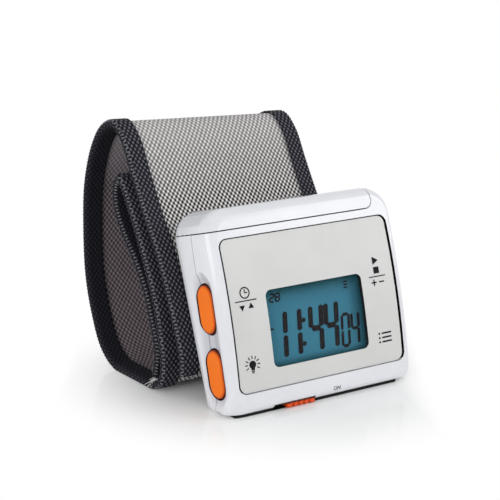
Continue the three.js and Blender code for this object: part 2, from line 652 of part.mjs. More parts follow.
// Knob of the slide switch: its underside runs level with the surface that the clock stands on
function slideKnob() {
  const shape = new THREE.Shape();
  shape.moveTo(SLIDE_FRONT, footHeight(SLIDE_FRONT) + SLIDE_LIFT);
  shape.lineTo(SLIDE_BACK, footHeight(SLIDE_BACK) + SLIDE_LIFT);
  shape.lineTo(SLIDE_BACK, footHeight(SLIDE_BACK) + SLIDE_HEIGHT);
  shape.lineTo(SLIDE_FRONT, footHeight(SLIDE_FRONT) + SLIDE_HEIGHT);
  shape.closePath();
  const half = SLIDE_WIDTH / 2;
  const body = alongX(shape, SLIDE_X - half, SLIDE_X + half);
  const pitch = SLIDE_WIDTH / (SLIDE_RIDGES + 1);
  const grooves = [];
  for (let i = 1; i <= SLIDE_RIDGES; i += 1) {
    const x = SLIDE_X - half + pitch * i;
    grooves.push(box(x - pitch / 4, x + pitch / 4, -REACH, SLIDE_FRONT + SLIDE_RIDGE_DEPTH, -REACH, 0));
  }
  const stem = box(SLIDE_X - SLIDE_STEM_WIDTH / 2, SLIDE_X + SLIDE_STEM_WIDTH / 2,
    SLIDE_BACK - SLIDE_STEM_DEPTH, SLIDE_BACK, SLIDE_TOP - CLEARANCE, SLIDE_STEM_TOP);
  return join(cut(body, ...grooves), stem);
}

function slideSwitchBody() {
  const half = SLIDE_WIDTH / 2 + SLIDE_BODY_MARGIN;
  const x = SLIDE_X - SLIDE_TRAVEL / 2;
  const front = SLIDE_BACK - SLIDE_STEM_DEPTH - 2 * CLEARANCE;
  const body = box(x - half, x + half, front, BOARD_DEPTH - CLEARANCE, SLIDE_BODY_FOOT, SLIDE_BODY_TOP);
  return cut(body, slideSpace().slot);
}

function batteryCell() {
  const body = CELL_LENGTH - CELL_NUB;
  const profile = [
    [0, 0], [CELL_RADIUS - CELL_EDGE, 0], [CELL_RADIUS, CELL_EDGE], [CELL_RADIUS, body - CELL_EDGE],
    [CELL_RADIUS - CELL_EDGE, body], [CELL_NUB_RADIUS, body], [CELL_NUB_RADIUS, CELL_LENGTH], [0, CELL_LENGTH],
  ].map(([r, h]) => new THREE.Vector2(r, h));
  const lathe = strip(new THREE.LatheGeometry(profile, 28).rotateZ(-Math.PI / 2));
  return solid(outward(mergeVertices(lathe, 1e-4)).translate(CELL_LEFT, CELL_DEPTH, CELL_Z));
}

const contactPlate = () => {
  const x = CELL_LENGTH / 2 + CLEARANCE;
  const half = CONTACT_SIZE / 2;
  return box(x, x + CONTACT_THICKNESS, CELL_DEPTH - half, CELL_DEPTH + half, CELL_Z - half, CONTACT_RIB_TOP);
};

// Bowed leaf that presses on the flat end of the cell
function contactLeaf() {
  const chord = CONTACT_SIZE / 2;
  const radius = (chord * chord + LEAF_BULGE * LEAF_BULGE) / (2 * LEAF_BULGE);
  const spread = Math.asin(chord / radius);
  const crown = CELL_LEFT - CLEARANCE;
  const z = CONTACT_RIB_TOP - chord;
  const shape = new THREE.Shape();
  shape.absarc(crown - radius, z, radius, -spread, spread, false);
  shape.absarc(crown - radius, z, radius - LEAF_THICKNESS, spread, -spread, true);
  shape.closePath();
  return alongY(shape, CELL_DEPTH - chord, CELL_DEPTH + chord);
}

// Motor can with a bore for its shaft, and the half-round weight that shakes the clock, hanging at rest
const MOTOR_END = MOTOR_X + MOTOR_LENGTH;
const motorCan = () => cut(
  rodX(MOTOR_RADIUS, MOTOR_X, MOTOR_END, MOTOR_DEPTH, MOTOR_Z),
  rodX(MOTOR_BORE, MOTOR_END - SHAFT_IN_CAN - CLEARANCE, REACH, MOTOR_DEPTH, MOTOR_Z, 16));
const motorShaft = () => rodX(
  SHAFT_RADIUS, MOTOR_END - SHAFT_IN_CAN, MOTOR_END - SHAFT_IN_CAN + SHAFT_LENGTH, MOTOR_DEPTH, MOTOR_Z, 16);

function motorWeight() {
  const shape = new THREE.Shape();
  const [from, to] = [Math.PI + LEAN, 2 * Math.PI + LEAN];
  shape.absarc(MOTOR_DEPTH, MOTOR_Z, WEIGHT_RADIUS, from, to, false);
  shape.absarc(MOTOR_DEPTH, MOTOR_Z, SHAFT_RADIUS + CLEARANCE, to, from, true);
  shape.closePath();
  return alongX(shape, MOTOR_END + WEIGHT_GAP, MOTOR_END + WEIGHT_GAP + WEIGHT_LENGTH);
}

// Keeper plate behind the strap, with two studs that reach the back of the case
const strapMiddle = () => STRAP_STANDOFF + BINDING_THICKNESS / 2;
const keeperFront = () => strapMiddle() + BAND_THICKNESS / 2 + CLEARANCE;
const studX = [-STUD_SPACING / 2, STUD_SPACING / 2].map((x) => x + STRAP_LEFT + STRAP_WIDTH / 2);
const backTilt = Math.atan((DEPTH_TOP - DEPTH_FOOT) / (CASE_TOP + CASE_FOOT));

function strapKeeper() {
  const middle = STRAP_LEFT + STRAP_WIDTH / 2;
  const plate = alongY(roundRect(middle, 0, KEEPER_WIDTH, KEEPER_HEIGHT, KEEPER_CORNER),
    keeperFront(), keeperFront() + KEEPER_THICKNESS);
  const studs = studX.map((x) => rodY(STUD_RADIUS, CLEARANCE, keeperFront() + KEEPER_THICKNESS / 2, x, 0));
  return join(plate, ...studs);
}

// Strap route seen from the side: the middle of the band from its cut end behind the case,
// up the back of the case, round the wrist loop and up again inside, to the folded tail.
const caseMatrix = new THREE.Matrix4().makeTranslation(0, 0, CASE_LIFT)
  .multiply(new THREE.Matrix4().makeRotationX(-LEAN));
const behindCase = (up, gap) => new THREE.Vector3(0, backDepth(up) + gap, up).applyMatrix4(caseMatrix);
const strapRoot = behindCase(0, 0).y;
const floorLine = BINDING_THICKNESS / 2;
const loopPoint = ([depth, height]) => new THREE.Vector3(
  0, strapRoot + depth * LOOP_DEPTH, Math.max(height * LOOP_HEIGHT, floorLine));
const upTheCase = [
  behindCase(-13.5, 4.4),
  behindCase(-9.5, strapMiddle() + 0.8),
  ...[-1, 0, 1].map((end) => behindCase(KEEPER_Z + end * (KEEPER_HEIGHT / 2 + 2), strapMiddle())),
  behindCase(19, strapMiddle() + 0.3),
];
const behindKeeper = ([up, gap]) => behindCase(
  KEEPER_Z + up, keeperFront() + KEEPER_THICKNESS + TAIL_STANDOFF + gap);

// Away from the case the route is drawn in shares of the loop's depth and height.
const roundTheWrist = [
  [0.308, 0.68], [0.436, 0.828], [0.531, 0.943], [0.64, 1], [0.772, 0.97], [0.882, 0.885], [0.976, 0.731],
  [1, 0.556], [0.986, 0.352], [0.915, 0.196], [0.815, 0.076], [0.659, 0], [0.438, 0], [0.251, 0],
].map(loopPoint);
const tailStart = [[0.137, 0.048], [0.102, 0.128]].map(loopPoint);
const tailUp = [[-8.2, 1.3], [0, 0], [10, 0]].map(behindKeeper);
const tailEnd = [[0.37, 0.653], [0.472, 0.764]].map(loopPoint);
const insideTail = [...tailStart, ...tailUp, ...tailEnd];
const foldOver = [[0.526, 0.804], [0.571, 0.767], [0.569, 0.692], [0.498, 0.601], [0.377, 0.508]].map(loopPoint);
const foldDown = [[5.4, 3.3], [-3, 3.5], [-11, 4.6], [-17.4, 8.4]].map(behindKeeper);
const tailFold = [...foldOver, ...foldDown];
const strapPoints = [...upTheCase, ...roundTheWrist, ...insideTail, ...tailFold];
const strapCurve = new THREE.CatmullRomCurve3(strapPoints, false, 'centripetal');
const shareAt = (point) => point / (strapPoints.length - 1);
const foldPoint = strapPoints.length - tailFold.length;

// The wrapped band drifts to the left behind the wrist, and again where its tail is folded askew.
const driftCurve = new THREE.SplineCurve(STRAP_DRIFTS.map((drift, i) => new THREE.Vector2(i, -drift)));
const drift = (share) => driftCurve.getPoint(share).y;

// Sweeps a flat section along the strap; its points are (across from the left edge, outward).
function alongStrap(section, from = 0, to = 1) {
  const steps = Math.round((strapPoints.length - 1) * STRAP_STEPS * (to - from));
  const rings = [];
  for (let i = 0; i <= steps; i += 1) {
    const share = from + ((to - from) * i) / steps;
    const middle = strapCurve.getPoint(share);
    middle.z = Math.max(middle.z, floorLine);
    const heading = strapCurve.getTangent(share);
    const taper = (STRAP_TAPER * middle.z) / LOOP_HEIGHT;
    rings.push(section.map((p) => new THREE.Vector3(
      STRAP_LEFT + drift(share) + p.x,
      middle.y - heading.z * p.y,
      (middle.z + heading.y * p.y) * (1 - (taper * p.x) / STRAP_WIDTH))));
  }
  return solid(loft(rings, THREE.ShapeUtils.triangulateShape(section, [])));
}

const rectangle = (a0, a1, b0, b1) => [[a0, b0], [a1, b0], [a1, b1], [a0, b1]].map((p) => new THREE.Vector2(...p));

function strapBand() {
  const edge = BINDING_FOLD + CLEARANCE;
  const half = BAND_THICKNESS / 2;
  const band = alongStrap(rectangle(edge, STRAP_WIDTH - edge, -half, half));
  const reach = keeperFront() + KEEPER_THICKNESS;
  const eyelets = studX.map((x) => {
    const tool = new THREE.CylinderGeometry(STUD_RADIUS + CLEARANCE, STUD_RADIUS + CLEARANCE, reach, 20);
    tool.translate(0, reach / 2, 0).applyMatrix4(keeperMatrix());
    return solid(tool.applyMatrix4(new THREE.Matrix4().makeTranslation(x, 0, 0)).applyMatrix4(caseMatrix));
  });
  return cut(band, ...eyelets);
}

// Place of the keeper on the sloping back of the case, in the case's frame
const keeperMatrix = () => new THREE.Matrix4().makeTranslation(0, backDepth(KEEPER_Z), KEEPER_Z)
  .multiply(new THREE.Matrix4().makeRotationX(-backTilt));

// Binding tape folded over one edge of the band
function strapBinding(flip) {
  const outer = BINDING_THICKNESS / 2;
  const inner = outer - BINDING_WALL;
  const section = [
    [0, -outer], [BINDING_WIDTH, -outer], [BINDING_WIDTH, -inner], [BINDING_FOLD, -inner],
    [BINDING_FOLD, inner], [BINDING_WIDTH, inner], [BINDING_WIDTH, outer], [0, outer],
  ].map(([a, b]) => new THREE.Vector2(flip ? STRAP_WIDTH - a : a, b));
  return alongStrap(flip ? section.reverse() : section);
}

// Fastening patch on the inner face of the outer layer, counted in route points from where it leaves
// the case, or on the outer face of the tail, counted from the fold
const loopPatchSpan = LOOP_PATCH_STEPS.map((step) => shareAt(upTheCase.length - 1 + step));
const hookPatchSpan = HOOK_PATCH_STEPS.map((step) => shareAt(foldPoint + step));

function strapPatch(span, outside) {
  const near = BAND_THICKNESS / 2 + CLEARANCE;
  const [b0, b1] = outside ? [near, near + PATCH_THICKNESS] : [-near - PATCH_THICKNESS, -near];
  return alongStrap(rectangle(PATCH_MARGIN, STRAP_WIDTH - PATCH_MARGIN, b0, b1), ...span);
}

// Materials
const material = (color, roughness, metalness = 0) => new THREE.MeshStandardMaterial({ color, roughness, metalness });
const WHITE = 0xe9eaf0;
const ORANGE = 0xff701e;
const whitePlastic = () => material(WHITE, 0.25);
const orangePlastic = () => material(ORANGE, 0.4);
const steel = () => material(0xb9bcc0, 0.3, 1);
const blackPlastic = () => material(0x26262a, 0.5);

const object = new THREE.Group();
const caseGroup = new THREE.Group();
caseGroup.rotation.x = -LEAN;
caseGroup.position.z = CASE_LIFT;
object.add(caseGroup);

function place(parent, name, manifold, look) {
  const mesh = new THREE.Mesh(toGeometry(manifold), look);
  mesh.name = name;
  parent.add(mesh);
  return mesh;
}

place(caseGroup, 'front_housing', frontHousing(), whitePlastic());
place(caseGroup, 'back_housing', backHousing(), whitePlastic());
place(caseGroup, 'battery_door', batteryDoor(), whitePlastic());
place(caseGroup, 'face_plate', facePlate(), material(0xd4d4d0, 0.45));
place(caseGroup, 'window_lens', alongY(windowOutline(LENS_LAP), LENS_DEPTH, LENS_DEPTH + LENS_THICKNESS),
  material(0xdfeaf0, 0.08));
place(caseGroup, 'lcd_panel', alongY(lcdOutline(0), LCD_DEPTH, LCD_DEPTH + LCD_THICKNESS), material(0x4280a0, 0.2));

const backlightFoot = -WINDOW_DROP - WINDOW_HEIGHT / 2 + BACKLIGHT_LAP;
const backlightHalf = WINDOW_WIDTH / 2 + BACKLIGHT_LAP;
const backlightBack = BACKLIGHT_DEPTH + BACKLIGHT_THICKNESS;
const backlightTop = -WINDOW_DROP + WINDOW_HEIGHT / 2 + BACKLIGHT_LAP;
const zebraTop = backlightFoot - CLEARANCE;
place(caseGroup, 'lcd_backlight', box(-backlightHalf, backlightHalf, BACKLIGHT_DEPTH, backlightBack,
  backlightFoot, backlightTop), material(0xd8ecf2, 0.5));
place(caseGroup, 'lcd_connector', box(-backlightHalf, backlightHalf, BACKLIGHT_DEPTH, backlightBack,
  zebraTop - ZEBRA_HEIGHT, zebraTop), material(0xc98f96, 0.8));
place(caseGroup, 'circuit_board', circuitBoard(), material(0x1f5b3a, 0.5));

for (const [sideName, side] of [['left', -1], ['right', 1]]) {
  for (const [levelName, z] of [['upper', BUTTON_Z[0]], ['lower', BUTTON_Z[1]]]) {
    const tail = `${sideName}_${levelName}`;
    place(caseGroup, `button_${tail}`, onSide(button(z), side), orangePlastic());
    place(caseGroup, `push_switch_${tail}`, onSide(pushSwitch(z), side), blackPlastic());
    place(caseGroup, `plunger_${tail}`, onSide(plunger(z), side), material(0xd9d4c8, 0.5));
  }
}

place(caseGroup, 'slide_knob', slideKnob(), orangePlastic());
place(caseGroup, 'slide_switch', slideSwitchBody(), steel());
place(caseGroup, 'battery_cell', batteryCell(), material(0x4a6b8a, 0.35, 0.3));
place(caseGroup, 'contact_plate', contactPlate(), steel());
place(caseGroup, 'contact_leaf', contactLeaf(), steel());
place(caseGroup, 'motor_can', motorCan(), steel());
place(caseGroup, 'motor_shaft', motorShaft(), steel());
place(caseGroup, 'motor_weight', motorWeight(), material(0x77736c, 0.4, 1));

const keeper = place(caseGroup, 'strap_keeper', strapKeeper(), blackPlastic());
keeper.applyMatrix4(keeperMatrix());

place(object, 'strap_band', strapBand(), material(0xa9a29b, 0.95));
place(object, 'strap_binding_left', strapBinding(false), material(0x2b2b30, 0.9));
place(object, 'strap_binding_right', strapBinding(true), material(0x2b2b30, 0.9));
place(object, 'strap_loop_patch', strapPatch(loopPatchSpan, false), material(0x3a3a40, 1));
place(object, 'strap_hook_patch', strapPatch(hookPatchSpan, true), material(0x333338, 0.8));

// The origin is the middle of the footprint, on the surface that the clock stands on.
object.updateMatrixWorld(true);
const bounds = new THREE.Box3().setFromObject(object, true);
const middle = bounds.getCenter(new THREE.Vector3());
object.position.set(-middle.x, -middle.y, -bounds.min.z);

export default object;
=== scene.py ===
"""Looks of a wrist-worn vibrating alarm clock: its finishes, its display and its woven strap.

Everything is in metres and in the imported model's frame. The strap is made again along the route of
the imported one; the moulded and metal pieces keep their shape and get their finish here.
"""

import bisect
import math
import random

import bmesh
import bpy
from bpy.props import (
    FloatProperty, FloatVectorProperty, IntProperty, PointerProperty, StringProperty)
from mathutils import Matrix, Vector
from mathutils.bvhtree import BVHTree


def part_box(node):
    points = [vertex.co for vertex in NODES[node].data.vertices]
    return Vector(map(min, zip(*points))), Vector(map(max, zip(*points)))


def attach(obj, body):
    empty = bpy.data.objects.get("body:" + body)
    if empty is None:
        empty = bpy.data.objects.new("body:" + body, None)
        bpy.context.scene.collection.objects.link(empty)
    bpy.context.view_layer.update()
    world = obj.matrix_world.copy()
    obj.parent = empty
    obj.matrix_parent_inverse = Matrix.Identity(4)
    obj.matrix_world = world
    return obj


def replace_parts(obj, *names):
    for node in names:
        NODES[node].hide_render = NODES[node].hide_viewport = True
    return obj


bl_info = {
    "name": "Wrist Alarm Clock",
    "version": (1, 0, 0),
    "blender": (4, 5, 0),
    "location": "View3D > Sidebar > Clock",
    "description": "Finishes, display and woven strap of a wrist-worn vibrating alarm clock",
    "category": "Object",
}

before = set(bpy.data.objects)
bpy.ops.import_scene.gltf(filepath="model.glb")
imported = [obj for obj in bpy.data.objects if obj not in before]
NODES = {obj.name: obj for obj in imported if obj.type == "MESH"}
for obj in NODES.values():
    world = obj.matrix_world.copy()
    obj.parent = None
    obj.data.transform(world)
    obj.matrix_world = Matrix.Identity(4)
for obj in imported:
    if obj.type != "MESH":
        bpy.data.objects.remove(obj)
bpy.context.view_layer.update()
FIXED = "case"
BUTTONS = [f"{side}_{level}" for side in ("left", "right") for level in ("upper", "lower")]

# Frame of the leaning case: the middle of the face plate, depth behind it along Y, up along Z
LEAN = math.radians(15)
CASE_FOOT = 0.0254
CASE_LIFT = CASE_FOOT * math.cos(LEAN)
CASE_HEIGHT, FOOT_DEPTH, TOP_DEPTH_GAIN = 0.0519, 0.0146, 0.0049
SHIFT = Vector((0.00325, -0.0277328, -0.0000033))
CASE_PLACE = Matrix.Translation(SHIFT + Vector((0, 0, CASE_LIFT))) @ Matrix.Rotation(-LEAN, 4, "X")
INWARD = CASE_PLACE.to_3x3() @ Vector((0, 1, 0))

# Places on the case, in that frame, where its colour changes, most of them by painted shade
FACE_RADIUS = 0.165
RECESS_WIDTH, RECESS_HEIGHT, UNSHADED_FOOT = 0.05126, 0.03826, 0.0006
GROOVE_DEPTH, GROOVE_MIDDLE, GROOVE_RUN, GROOVE_RADIUS = 0.0069, -0.00495, 0.0239, 0.0049
GROOVE_SHADE_FROM = 0.6 * GROOVE_RADIUS
CAP_MIDDLE, CAP_STEP, CAP_RUN, CAP_RADIUS, CAP_FACE = -0.0054, 0.008, 0.0052, 0.0035, 0.0282
CAP_EDGE, CAP_SIDE_START, CAP_SIDE_END = 0.0009, 0.0004, 0.0001
CAP_HOLE = CAP_RADIUS + 0.00039
NOTCH_MIDDLE, NOTCH_WIDTH, NOTCH_TOP, NOTCH_SEAM = -0.0093, 0.0124, 0.0017, 0.00003
PANEL_DEPTH = 0.00305

# Painted shade: dark for the gaps, a darker tone for the grooves, deeper tones for the caps' edges
# and sides
GAP_SHADE = (0.012, 0.01, 0.01)
GROOVE_SHADE = (0.72, 0.715, 0.75)
CAP_EDGE_SHADE = (0.55, 0.05, 0.004)
CAP_SIDE_SHADE = (0.1, 0.018, 0.004)

INK_PROUD = 0.00004
INK_START = -0.02
SAME_POINT = 1e-7
STRAP_ROWS = 350
WEAVE_RELIEF = 0.00012
# Painted light on the strap: between these heights it turns up to this share towards a paler top
# colour
TOP_LIGHT_HEIGHTS, TOP_LIGHT_SHARE = (0.047, 0.068), 0.4


class StageSettings(bpy.types.PropertyGroup):
    """Camera, floor and lamps."""

    camera_place: FloatVectorProperty(
        name="Camera place", description="Where the camera stands", subtype="TRANSLATION",
        unit="LENGTH", default=(-0.20905, -0.31713, 0.1303))
    camera_tilt: FloatProperty(
        name="Camera tilt", description="Angle of the camera from straight down", subtype="ANGLE",
        default=math.radians(75.54))
    camera_turn: FloatProperty(
        name="Camera turn", description="Turn of the camera about the vertical", subtype="ANGLE",
        default=math.radians(-33.59))
    lens: FloatProperty(name="Lens", description="Focal length", unit="CAMERA", default=108)
    floor_colour: FloatVectorProperty(
        name="Floor", description="Colour of the glossy floor", subtype="COLOR",
        default=(0.95, 0.95, 0.94))
    key_power: FloatProperty(
        name="Key lamp", description="Power of the lamp at the left", unit="POWER", default=2.5)
    fill_power: FloatProperty(
        name="Fill lamp", description="Power of the lamp at the right", unit="POWER", default=2.2)
    top_power: FloatProperty(
        name="Top lamp", description="Power of the lamp above", unit="POWER", default=0.32)
    room_light: FloatProperty(
        name="Room light", description="Strength of the light from all round", default=0.46)


class CaseSettings(bpy.types.PropertyGroup):
    """Colours of the case, the face and the controls, and what the display shows."""

    case_colour: FloatVectorProperty(
        name="Case", description="White of the moulded case", subtype="COLOR",
        default=(0.795, 0.8, 0.83))
    plate_colour: FloatVectorProperty(
        name="Face plate", description="Grey of the face plate", subtype="COLOR",
        default=(0.665, 0.667, 0.648))
    button_colour: FloatVectorProperty(
        name="Buttons", description="Orange of the buttons", subtype="COLOR",
        default=(1.0, 0.195, 0.004))
    # Redder than the buttons, and darker too as painted shade for its place in the shadow under the
    # case
    knob_hue_and_shade: FloatVectorProperty(
        name="Slide knob", description="Deeper orange of the slide knob", subtype="COLOR",
        default=(0.72, 0.075, 0.008))
    display_colour: FloatVectorProperty(
        name="Display", description="Blue of the lit display", subtype="COLOR",
        default=(0.036, 0.166, 0.241))
    digit_colour: FloatVectorProperty(
        name="Digits", description="Dark brown of the display's segments", subtype="COLOR",
        default=(0.011, 0.007, 0.007))
    ink_colour: FloatVectorProperty(
        name="Ink", description="Black of the printed marks", subtype="COLOR",
        default=(0.012, 0.012, 0.014))
    hours_minutes: StringProperty(
        name="Time", description="Four digits of the time", default="1144")
    seconds: StringProperty(
        name="Seconds", description="Two digits of the seconds", default="04")
    digit_height: FloatProperty(
        name="Digit height", description="Height of the four large digits", unit="LENGTH",
        default=0.0117)
    digit_width: FloatProperty(
        name="Digit width", description="Width of the four large digits", unit="LENGTH",
        default=0.00325)
    digit_stroke: FloatProperty(
        name="Digit stroke", description="Width of one segment", unit="LENGTH", default=0.00142)
    digit_slant: FloatProperty(
        name="Digit slant", description="Slant of the digits", subtype="ANGLE",
        default=math.radians(6.3))


class StrapSettings(bpy.types.PropertyGroup):
    """Sizes and colours of the strap."""

    width: FloatProperty(
        name="Width", description="Width of the strap", unit="LENGTH", default=0.0536)
    left: FloatProperty(
        name="Left edge", description="Left edge where the strap starts", unit="LENGTH",
        default=-0.0308)
    drift: FloatVectorProperty(
        name="Drift", description="How far the strap lies to the left, at equal steps along it",
        unit="LENGTH", size=6, default=(0, 0.0021, 0.0036, 0.0024, 0.0042, 0.0024))
    loop_depth: FloatProperty(
        name="Loop depth", description="Depth of the wrist loop", unit="LENGTH", default=0.0422)
    loop_height: FloatProperty(
        name="Loop height", description="Height of the wrist loop", unit="LENGTH", default=0.0662)
    band_thickness: FloatProperty(
        name="Band thickness", description="Thickness of the woven band", unit="LENGTH",
        default=0.0009)
    band_edge: FloatProperty(
        name="Band edge", description="How far the band's edge lies inside the binding",
        unit="LENGTH", default=0.0013)
    binding_width: FloatProperty(
        name="Binding width", description="Width of the tape on each face", unit="LENGTH",
        default=0.005)
    binding_thickness: FloatProperty(
        name="Binding thickness", description="Thickness over the folded tape", unit="LENGTH",
        default=0.0023)
    tape_thickness: FloatProperty(
        name="Tape thickness", description="Thickness of the tape", unit="LENGTH", default=0.0004)
    yarn_across: FloatProperty(
        name="Yarn across", description="Spacing of the lengthwise yarns", unit="LENGTH",
        default=0.00065)
    yarn_along: FloatProperty(
        name="Yarn along", description="Spacing of the crosswise yarns", unit="LENGTH",
        default=0.00083)
    stitch_pitch: FloatProperty(
        name="Stitch pitch", description="Spacing of the edge stitches", unit="LENGTH",
        default=0.00092)
    stitch_length: FloatProperty(
        name="Stitch length", description="Length of one edge stitch", unit="LENGTH",
        default=0.0011)
    light_yarn: FloatVectorProperty(
        name="Light yarn", description="Colour of the yarn crowns", subtype="COLOR",
        default=(0.93, 0.90, 0.88))
    dark_yarn: FloatVectorProperty(
        name="Dark yarn", description="Colour between the yarns", subtype="COLOR",
        default=(0.01, 0.0095, 0.01))
    lining_yarn: FloatVectorProperty(
        name="Lining yarn", description="Colour of the yarns on the wrist side", subtype="COLOR",
        default=(0.335, 0.275, 0.3))
    tape_colour: FloatVectorProperty(
        name="Tape", description="Colour of the binding tape", subtype="COLOR",
        default=(0.008, 0.008, 0.012))
    tape_crown: FloatVectorProperty(
        name="Tape crowns", description="Colour of the tape's raised yarns", subtype="COLOR",
        default=(0.19, 0.19, 0.22))
    stitch_colour: FloatVectorProperty(
        name="Stitches", description="Colour of the edge stitches", subtype="COLOR",
        default=(0.2, 0.197, 0.205))
    frayed_yarns: IntProperty(
        name="Frayed yarns", description="Loose yarn ends at each cut end", default=90, min=0)
    tuft_yarns: IntProperty(
        name="Tuft yarns", description="Long loose yarns at the tail's left corner", default=110,
        min=0)


class Nodes:
    """Adds nodes to a node tree and links them."""

    def __init__(self, tree):
        self.tree = tree

    def put(self, value, socket):
        if isinstance(value, bpy.types.NodeSocket):
            self.tree.links.new(value, socket)
        else:
            socket.default_value = value

    def node(self, kind, inputs=(), **settings):
        made = self.tree.nodes.new(kind)
        for name, value in settings.items():
            setattr(made, name, value)
        for key, value in dict(inputs).items():
            self.put(value, made.inputs[key])
        return made

    def math(self, operation, first, second=0.0, third=0.0):
        made = self.node("ShaderNodeMath", {0: first, 1: second, 2: third}, operation=operation)
        return made.outputs[0]

    def seen(self):
        """1 for what is seen, straight, mirrored or through a clear piece, and 0 for light."""
        path = self.node("ShaderNodeLightPath").outputs
        past = self.math("MAXIMUM", path["Is Glossy Ray"], path["Is Transmission Ray"])
        return self.math("MAXIMUM", path["Is Camera Ray"], past)

    def blend(self, factor, first, second, output):
        """Sends a mix of two shader nodes to the output node."""
        both = self.node("ShaderNodeMixShader", {
            0: factor, 1: first.outputs[0], 2: second.outputs[0]})
        self.put(both.outputs[0], self.tree.nodes[output].inputs["Surface"])


class Finish(Nodes):
    """A material with one Principled shader and the nodes that feed it."""

    def __init__(self, name, **sockets):
        self.material = bpy.data.materials.new(name)
        self.material.use_nodes = True
        super().__init__(self.material.node_tree)
        self.shader = self.tree.nodes["Principled BSDF"]
        for socket, value in sockets.items():
            self.feed(socket.replace("_", " "), value)

    def feed(self, socket, value):
        self.put(value, self.shader.inputs[socket])

    def place(self):
        return self.node("ShaderNodeTexCoord").outputs["Object"]

    def turned(self, rotation, location=(0, 0, 0)):
        return self.node("ShaderNodeMapping", {
            "Vector": self.place(), "Location": location, "Rotation": rotation}).outputs[0]

    def parts(self, vector):
        return self.node("ShaderNodeSeparateXYZ", {0: vector}).outputs[:]

    def in_case(self):
        """Across, depth and height in the frame of the leaning case."""
        return self.parts(self.turned((LEAN, 0, 0), CASE_PLACE.inverted().to_translation()))

    def apart(self, value, middle):
        """Distance of a value from a middle."""
        return self.math("ABSOLUTE", self.math("SUBTRACT", value, middle))

    def noise(self, scale, detail=2.0, vector=None, stretch=None):
        vector = vector or self.place()
        if stretch:
            vector = self.node("ShaderNodeMapping", {
                "Vector": vector, "Scale": stretch}).outputs[0]
        return self.node("ShaderNodeTexNoise", {
            "Vector": vector, "Scale": scale, "Detail": detail}).outputs["Fac"]

    def span(self, value, low, high, start=0.0, end=1.0):
        return self.node("ShaderNodeMapRange", {
            "Value": value, "From Min": start, "From Max": end,
            "To Min": low, "To Max": high}).outputs[0]

    def ramp(self, value, *stops, easing="LINEAR"):
        made = self.node("ShaderNodeValToRGB", {"Fac": value})
        made.color_ramp.interpolation = easing
        elements = made.color_ramp.elements
        while len(elements) < len(stops):
            elements.new(0.5)
        for element, (position, colour) in zip(elements, stops):
            element.position = position
            element.color = (*colour[:3], 1)
        return made.outputs["Color"]

    def mix(self, factor, first, second, blend="MIX"):
        made = self.node("ShaderNodeMix", data_type="RGBA", blend_type=blend)
        for key, value in ((0, factor), (6, first), (7, second)):
            if not isinstance(value, (bpy.types.NodeSocket, float, int)):
                value = (*value[:3], 1)
            self.put(value, made.inputs[key])
        return made.outputs[2]

    def bump(self, height, distance, strength):
        return self.node("ShaderNodeBump", {
            "Height": height, "Distance": distance, "Strength": strength}).outputs[0]


def shade(colour, share):
    """The colour, darker or lighter by a share."""
    return tuple(min(1.0, part * share) for part in colour[:3])


# Painted shade: each takes a finish and its colour so far, and gives the colour with its shade on it
def shaded_plate_gap(sink):
    """Painted shade in the plate's gap, but for its foot, from a depth under the bowed face on."""
    def painted_shade(finish, tone):
        x, depth, z = finish.in_case()
        bow = finish.math("MULTIPLY", finish.math("MULTIPLY", z, z), 0.5 / FACE_RADIUS)
        below = finish.math("GREATER_THAN", finish.math("SUBTRACT", depth, bow), sink)
        wide = finish.math("LESS_THAN", finish.math("ABSOLUTE", x), RECESS_WIDTH / 2)
        high = finish.math("LESS_THAN", finish.apart(z, UNSHADED_FOOT / 2),
                           (RECESS_HEIGHT - UNSHADED_FOOT) / 2)
        inside = finish.math("MULTIPLY", below, finish.math("MULTIPLY", wide, high))
        return finish.mix(inside, tone, GAP_SHADE)
    return painted_shade


def from_run(finish, middle, run, step=0.0):
    """Distance from the middle line of a long round shape on the case's side wall, or of the
    nearer one of a pair."""
    _, depth, z = finish.in_case()
    beside = finish.math("SUBTRACT", depth, GROOVE_DEPTH)
    along = finish.apart(z, middle)
    if step:
        along = finish.apart(along, step)
    past = finish.math("MAXIMUM", 0.0, finish.math("SUBTRACT", along, run / 2))
    square = finish.math("MULTIPLY", past, past)
    return finish.math("SQRT", finish.math("MULTIPLY_ADD", beside, beside, square))


def shaded_groove(finish, tone):
    """Painted shade in the scooped grooves, and dark painted shade in the gaps round the caps."""
    groove = from_run(finish, GROOVE_MIDDLE, GROOVE_RUN)
    in_shade = finish.span(groove, 1, 0, GROOVE_SHADE_FROM, GROOVE_RADIUS)
    tone = finish.mix(in_shade, tone, GROOVE_SHADE, "MULTIPLY")
    cap = from_run(finish, CAP_MIDDLE, CAP_RUN, CAP_STEP)
    return finish.mix(finish.math("LESS_THAN", cap, CAP_HOLE), tone, GAP_SHADE)


def shaded_notch(finish, tone):
    """Painted shade in the notch that the slide knob runs in."""
    aside = finish.apart(finish.in_case()[0], NOTCH_MIDDLE)
    height = finish.parts(finish.place())[2]
    inside = finish.math("MULTIPLY",
                         finish.math("LESS_THAN", aside, NOTCH_WIDTH / 2 + NOTCH_SEAM),
                         finish.math("LESS_THAN", height, NOTCH_TOP))
    return finish.mix(inside, tone, GAP_SHADE)


def shaded_cap_edge(finish, tone):
    """Painted shade on a button's cap: deeper on its rounded edge, dark on its sides in the gap."""
    cap = from_run(finish, CAP_MIDDLE, CAP_RUN, CAP_STEP)
    edge = finish.span(cap, 0, 1, CAP_RADIUS - CAP_EDGE, CAP_RADIUS)
    tone = finish.mix(edge, tone, CAP_EDGE_SHADE)
    across = finish.math("ABSOLUTE", finish.in_case()[0])
    side = finish.span(across, 1, 0, CAP_FACE - CAP_SIDE_START, CAP_FACE - CAP_SIDE_END)
    return finish.mix(side, tone, CAP_SIDE_SHADE)


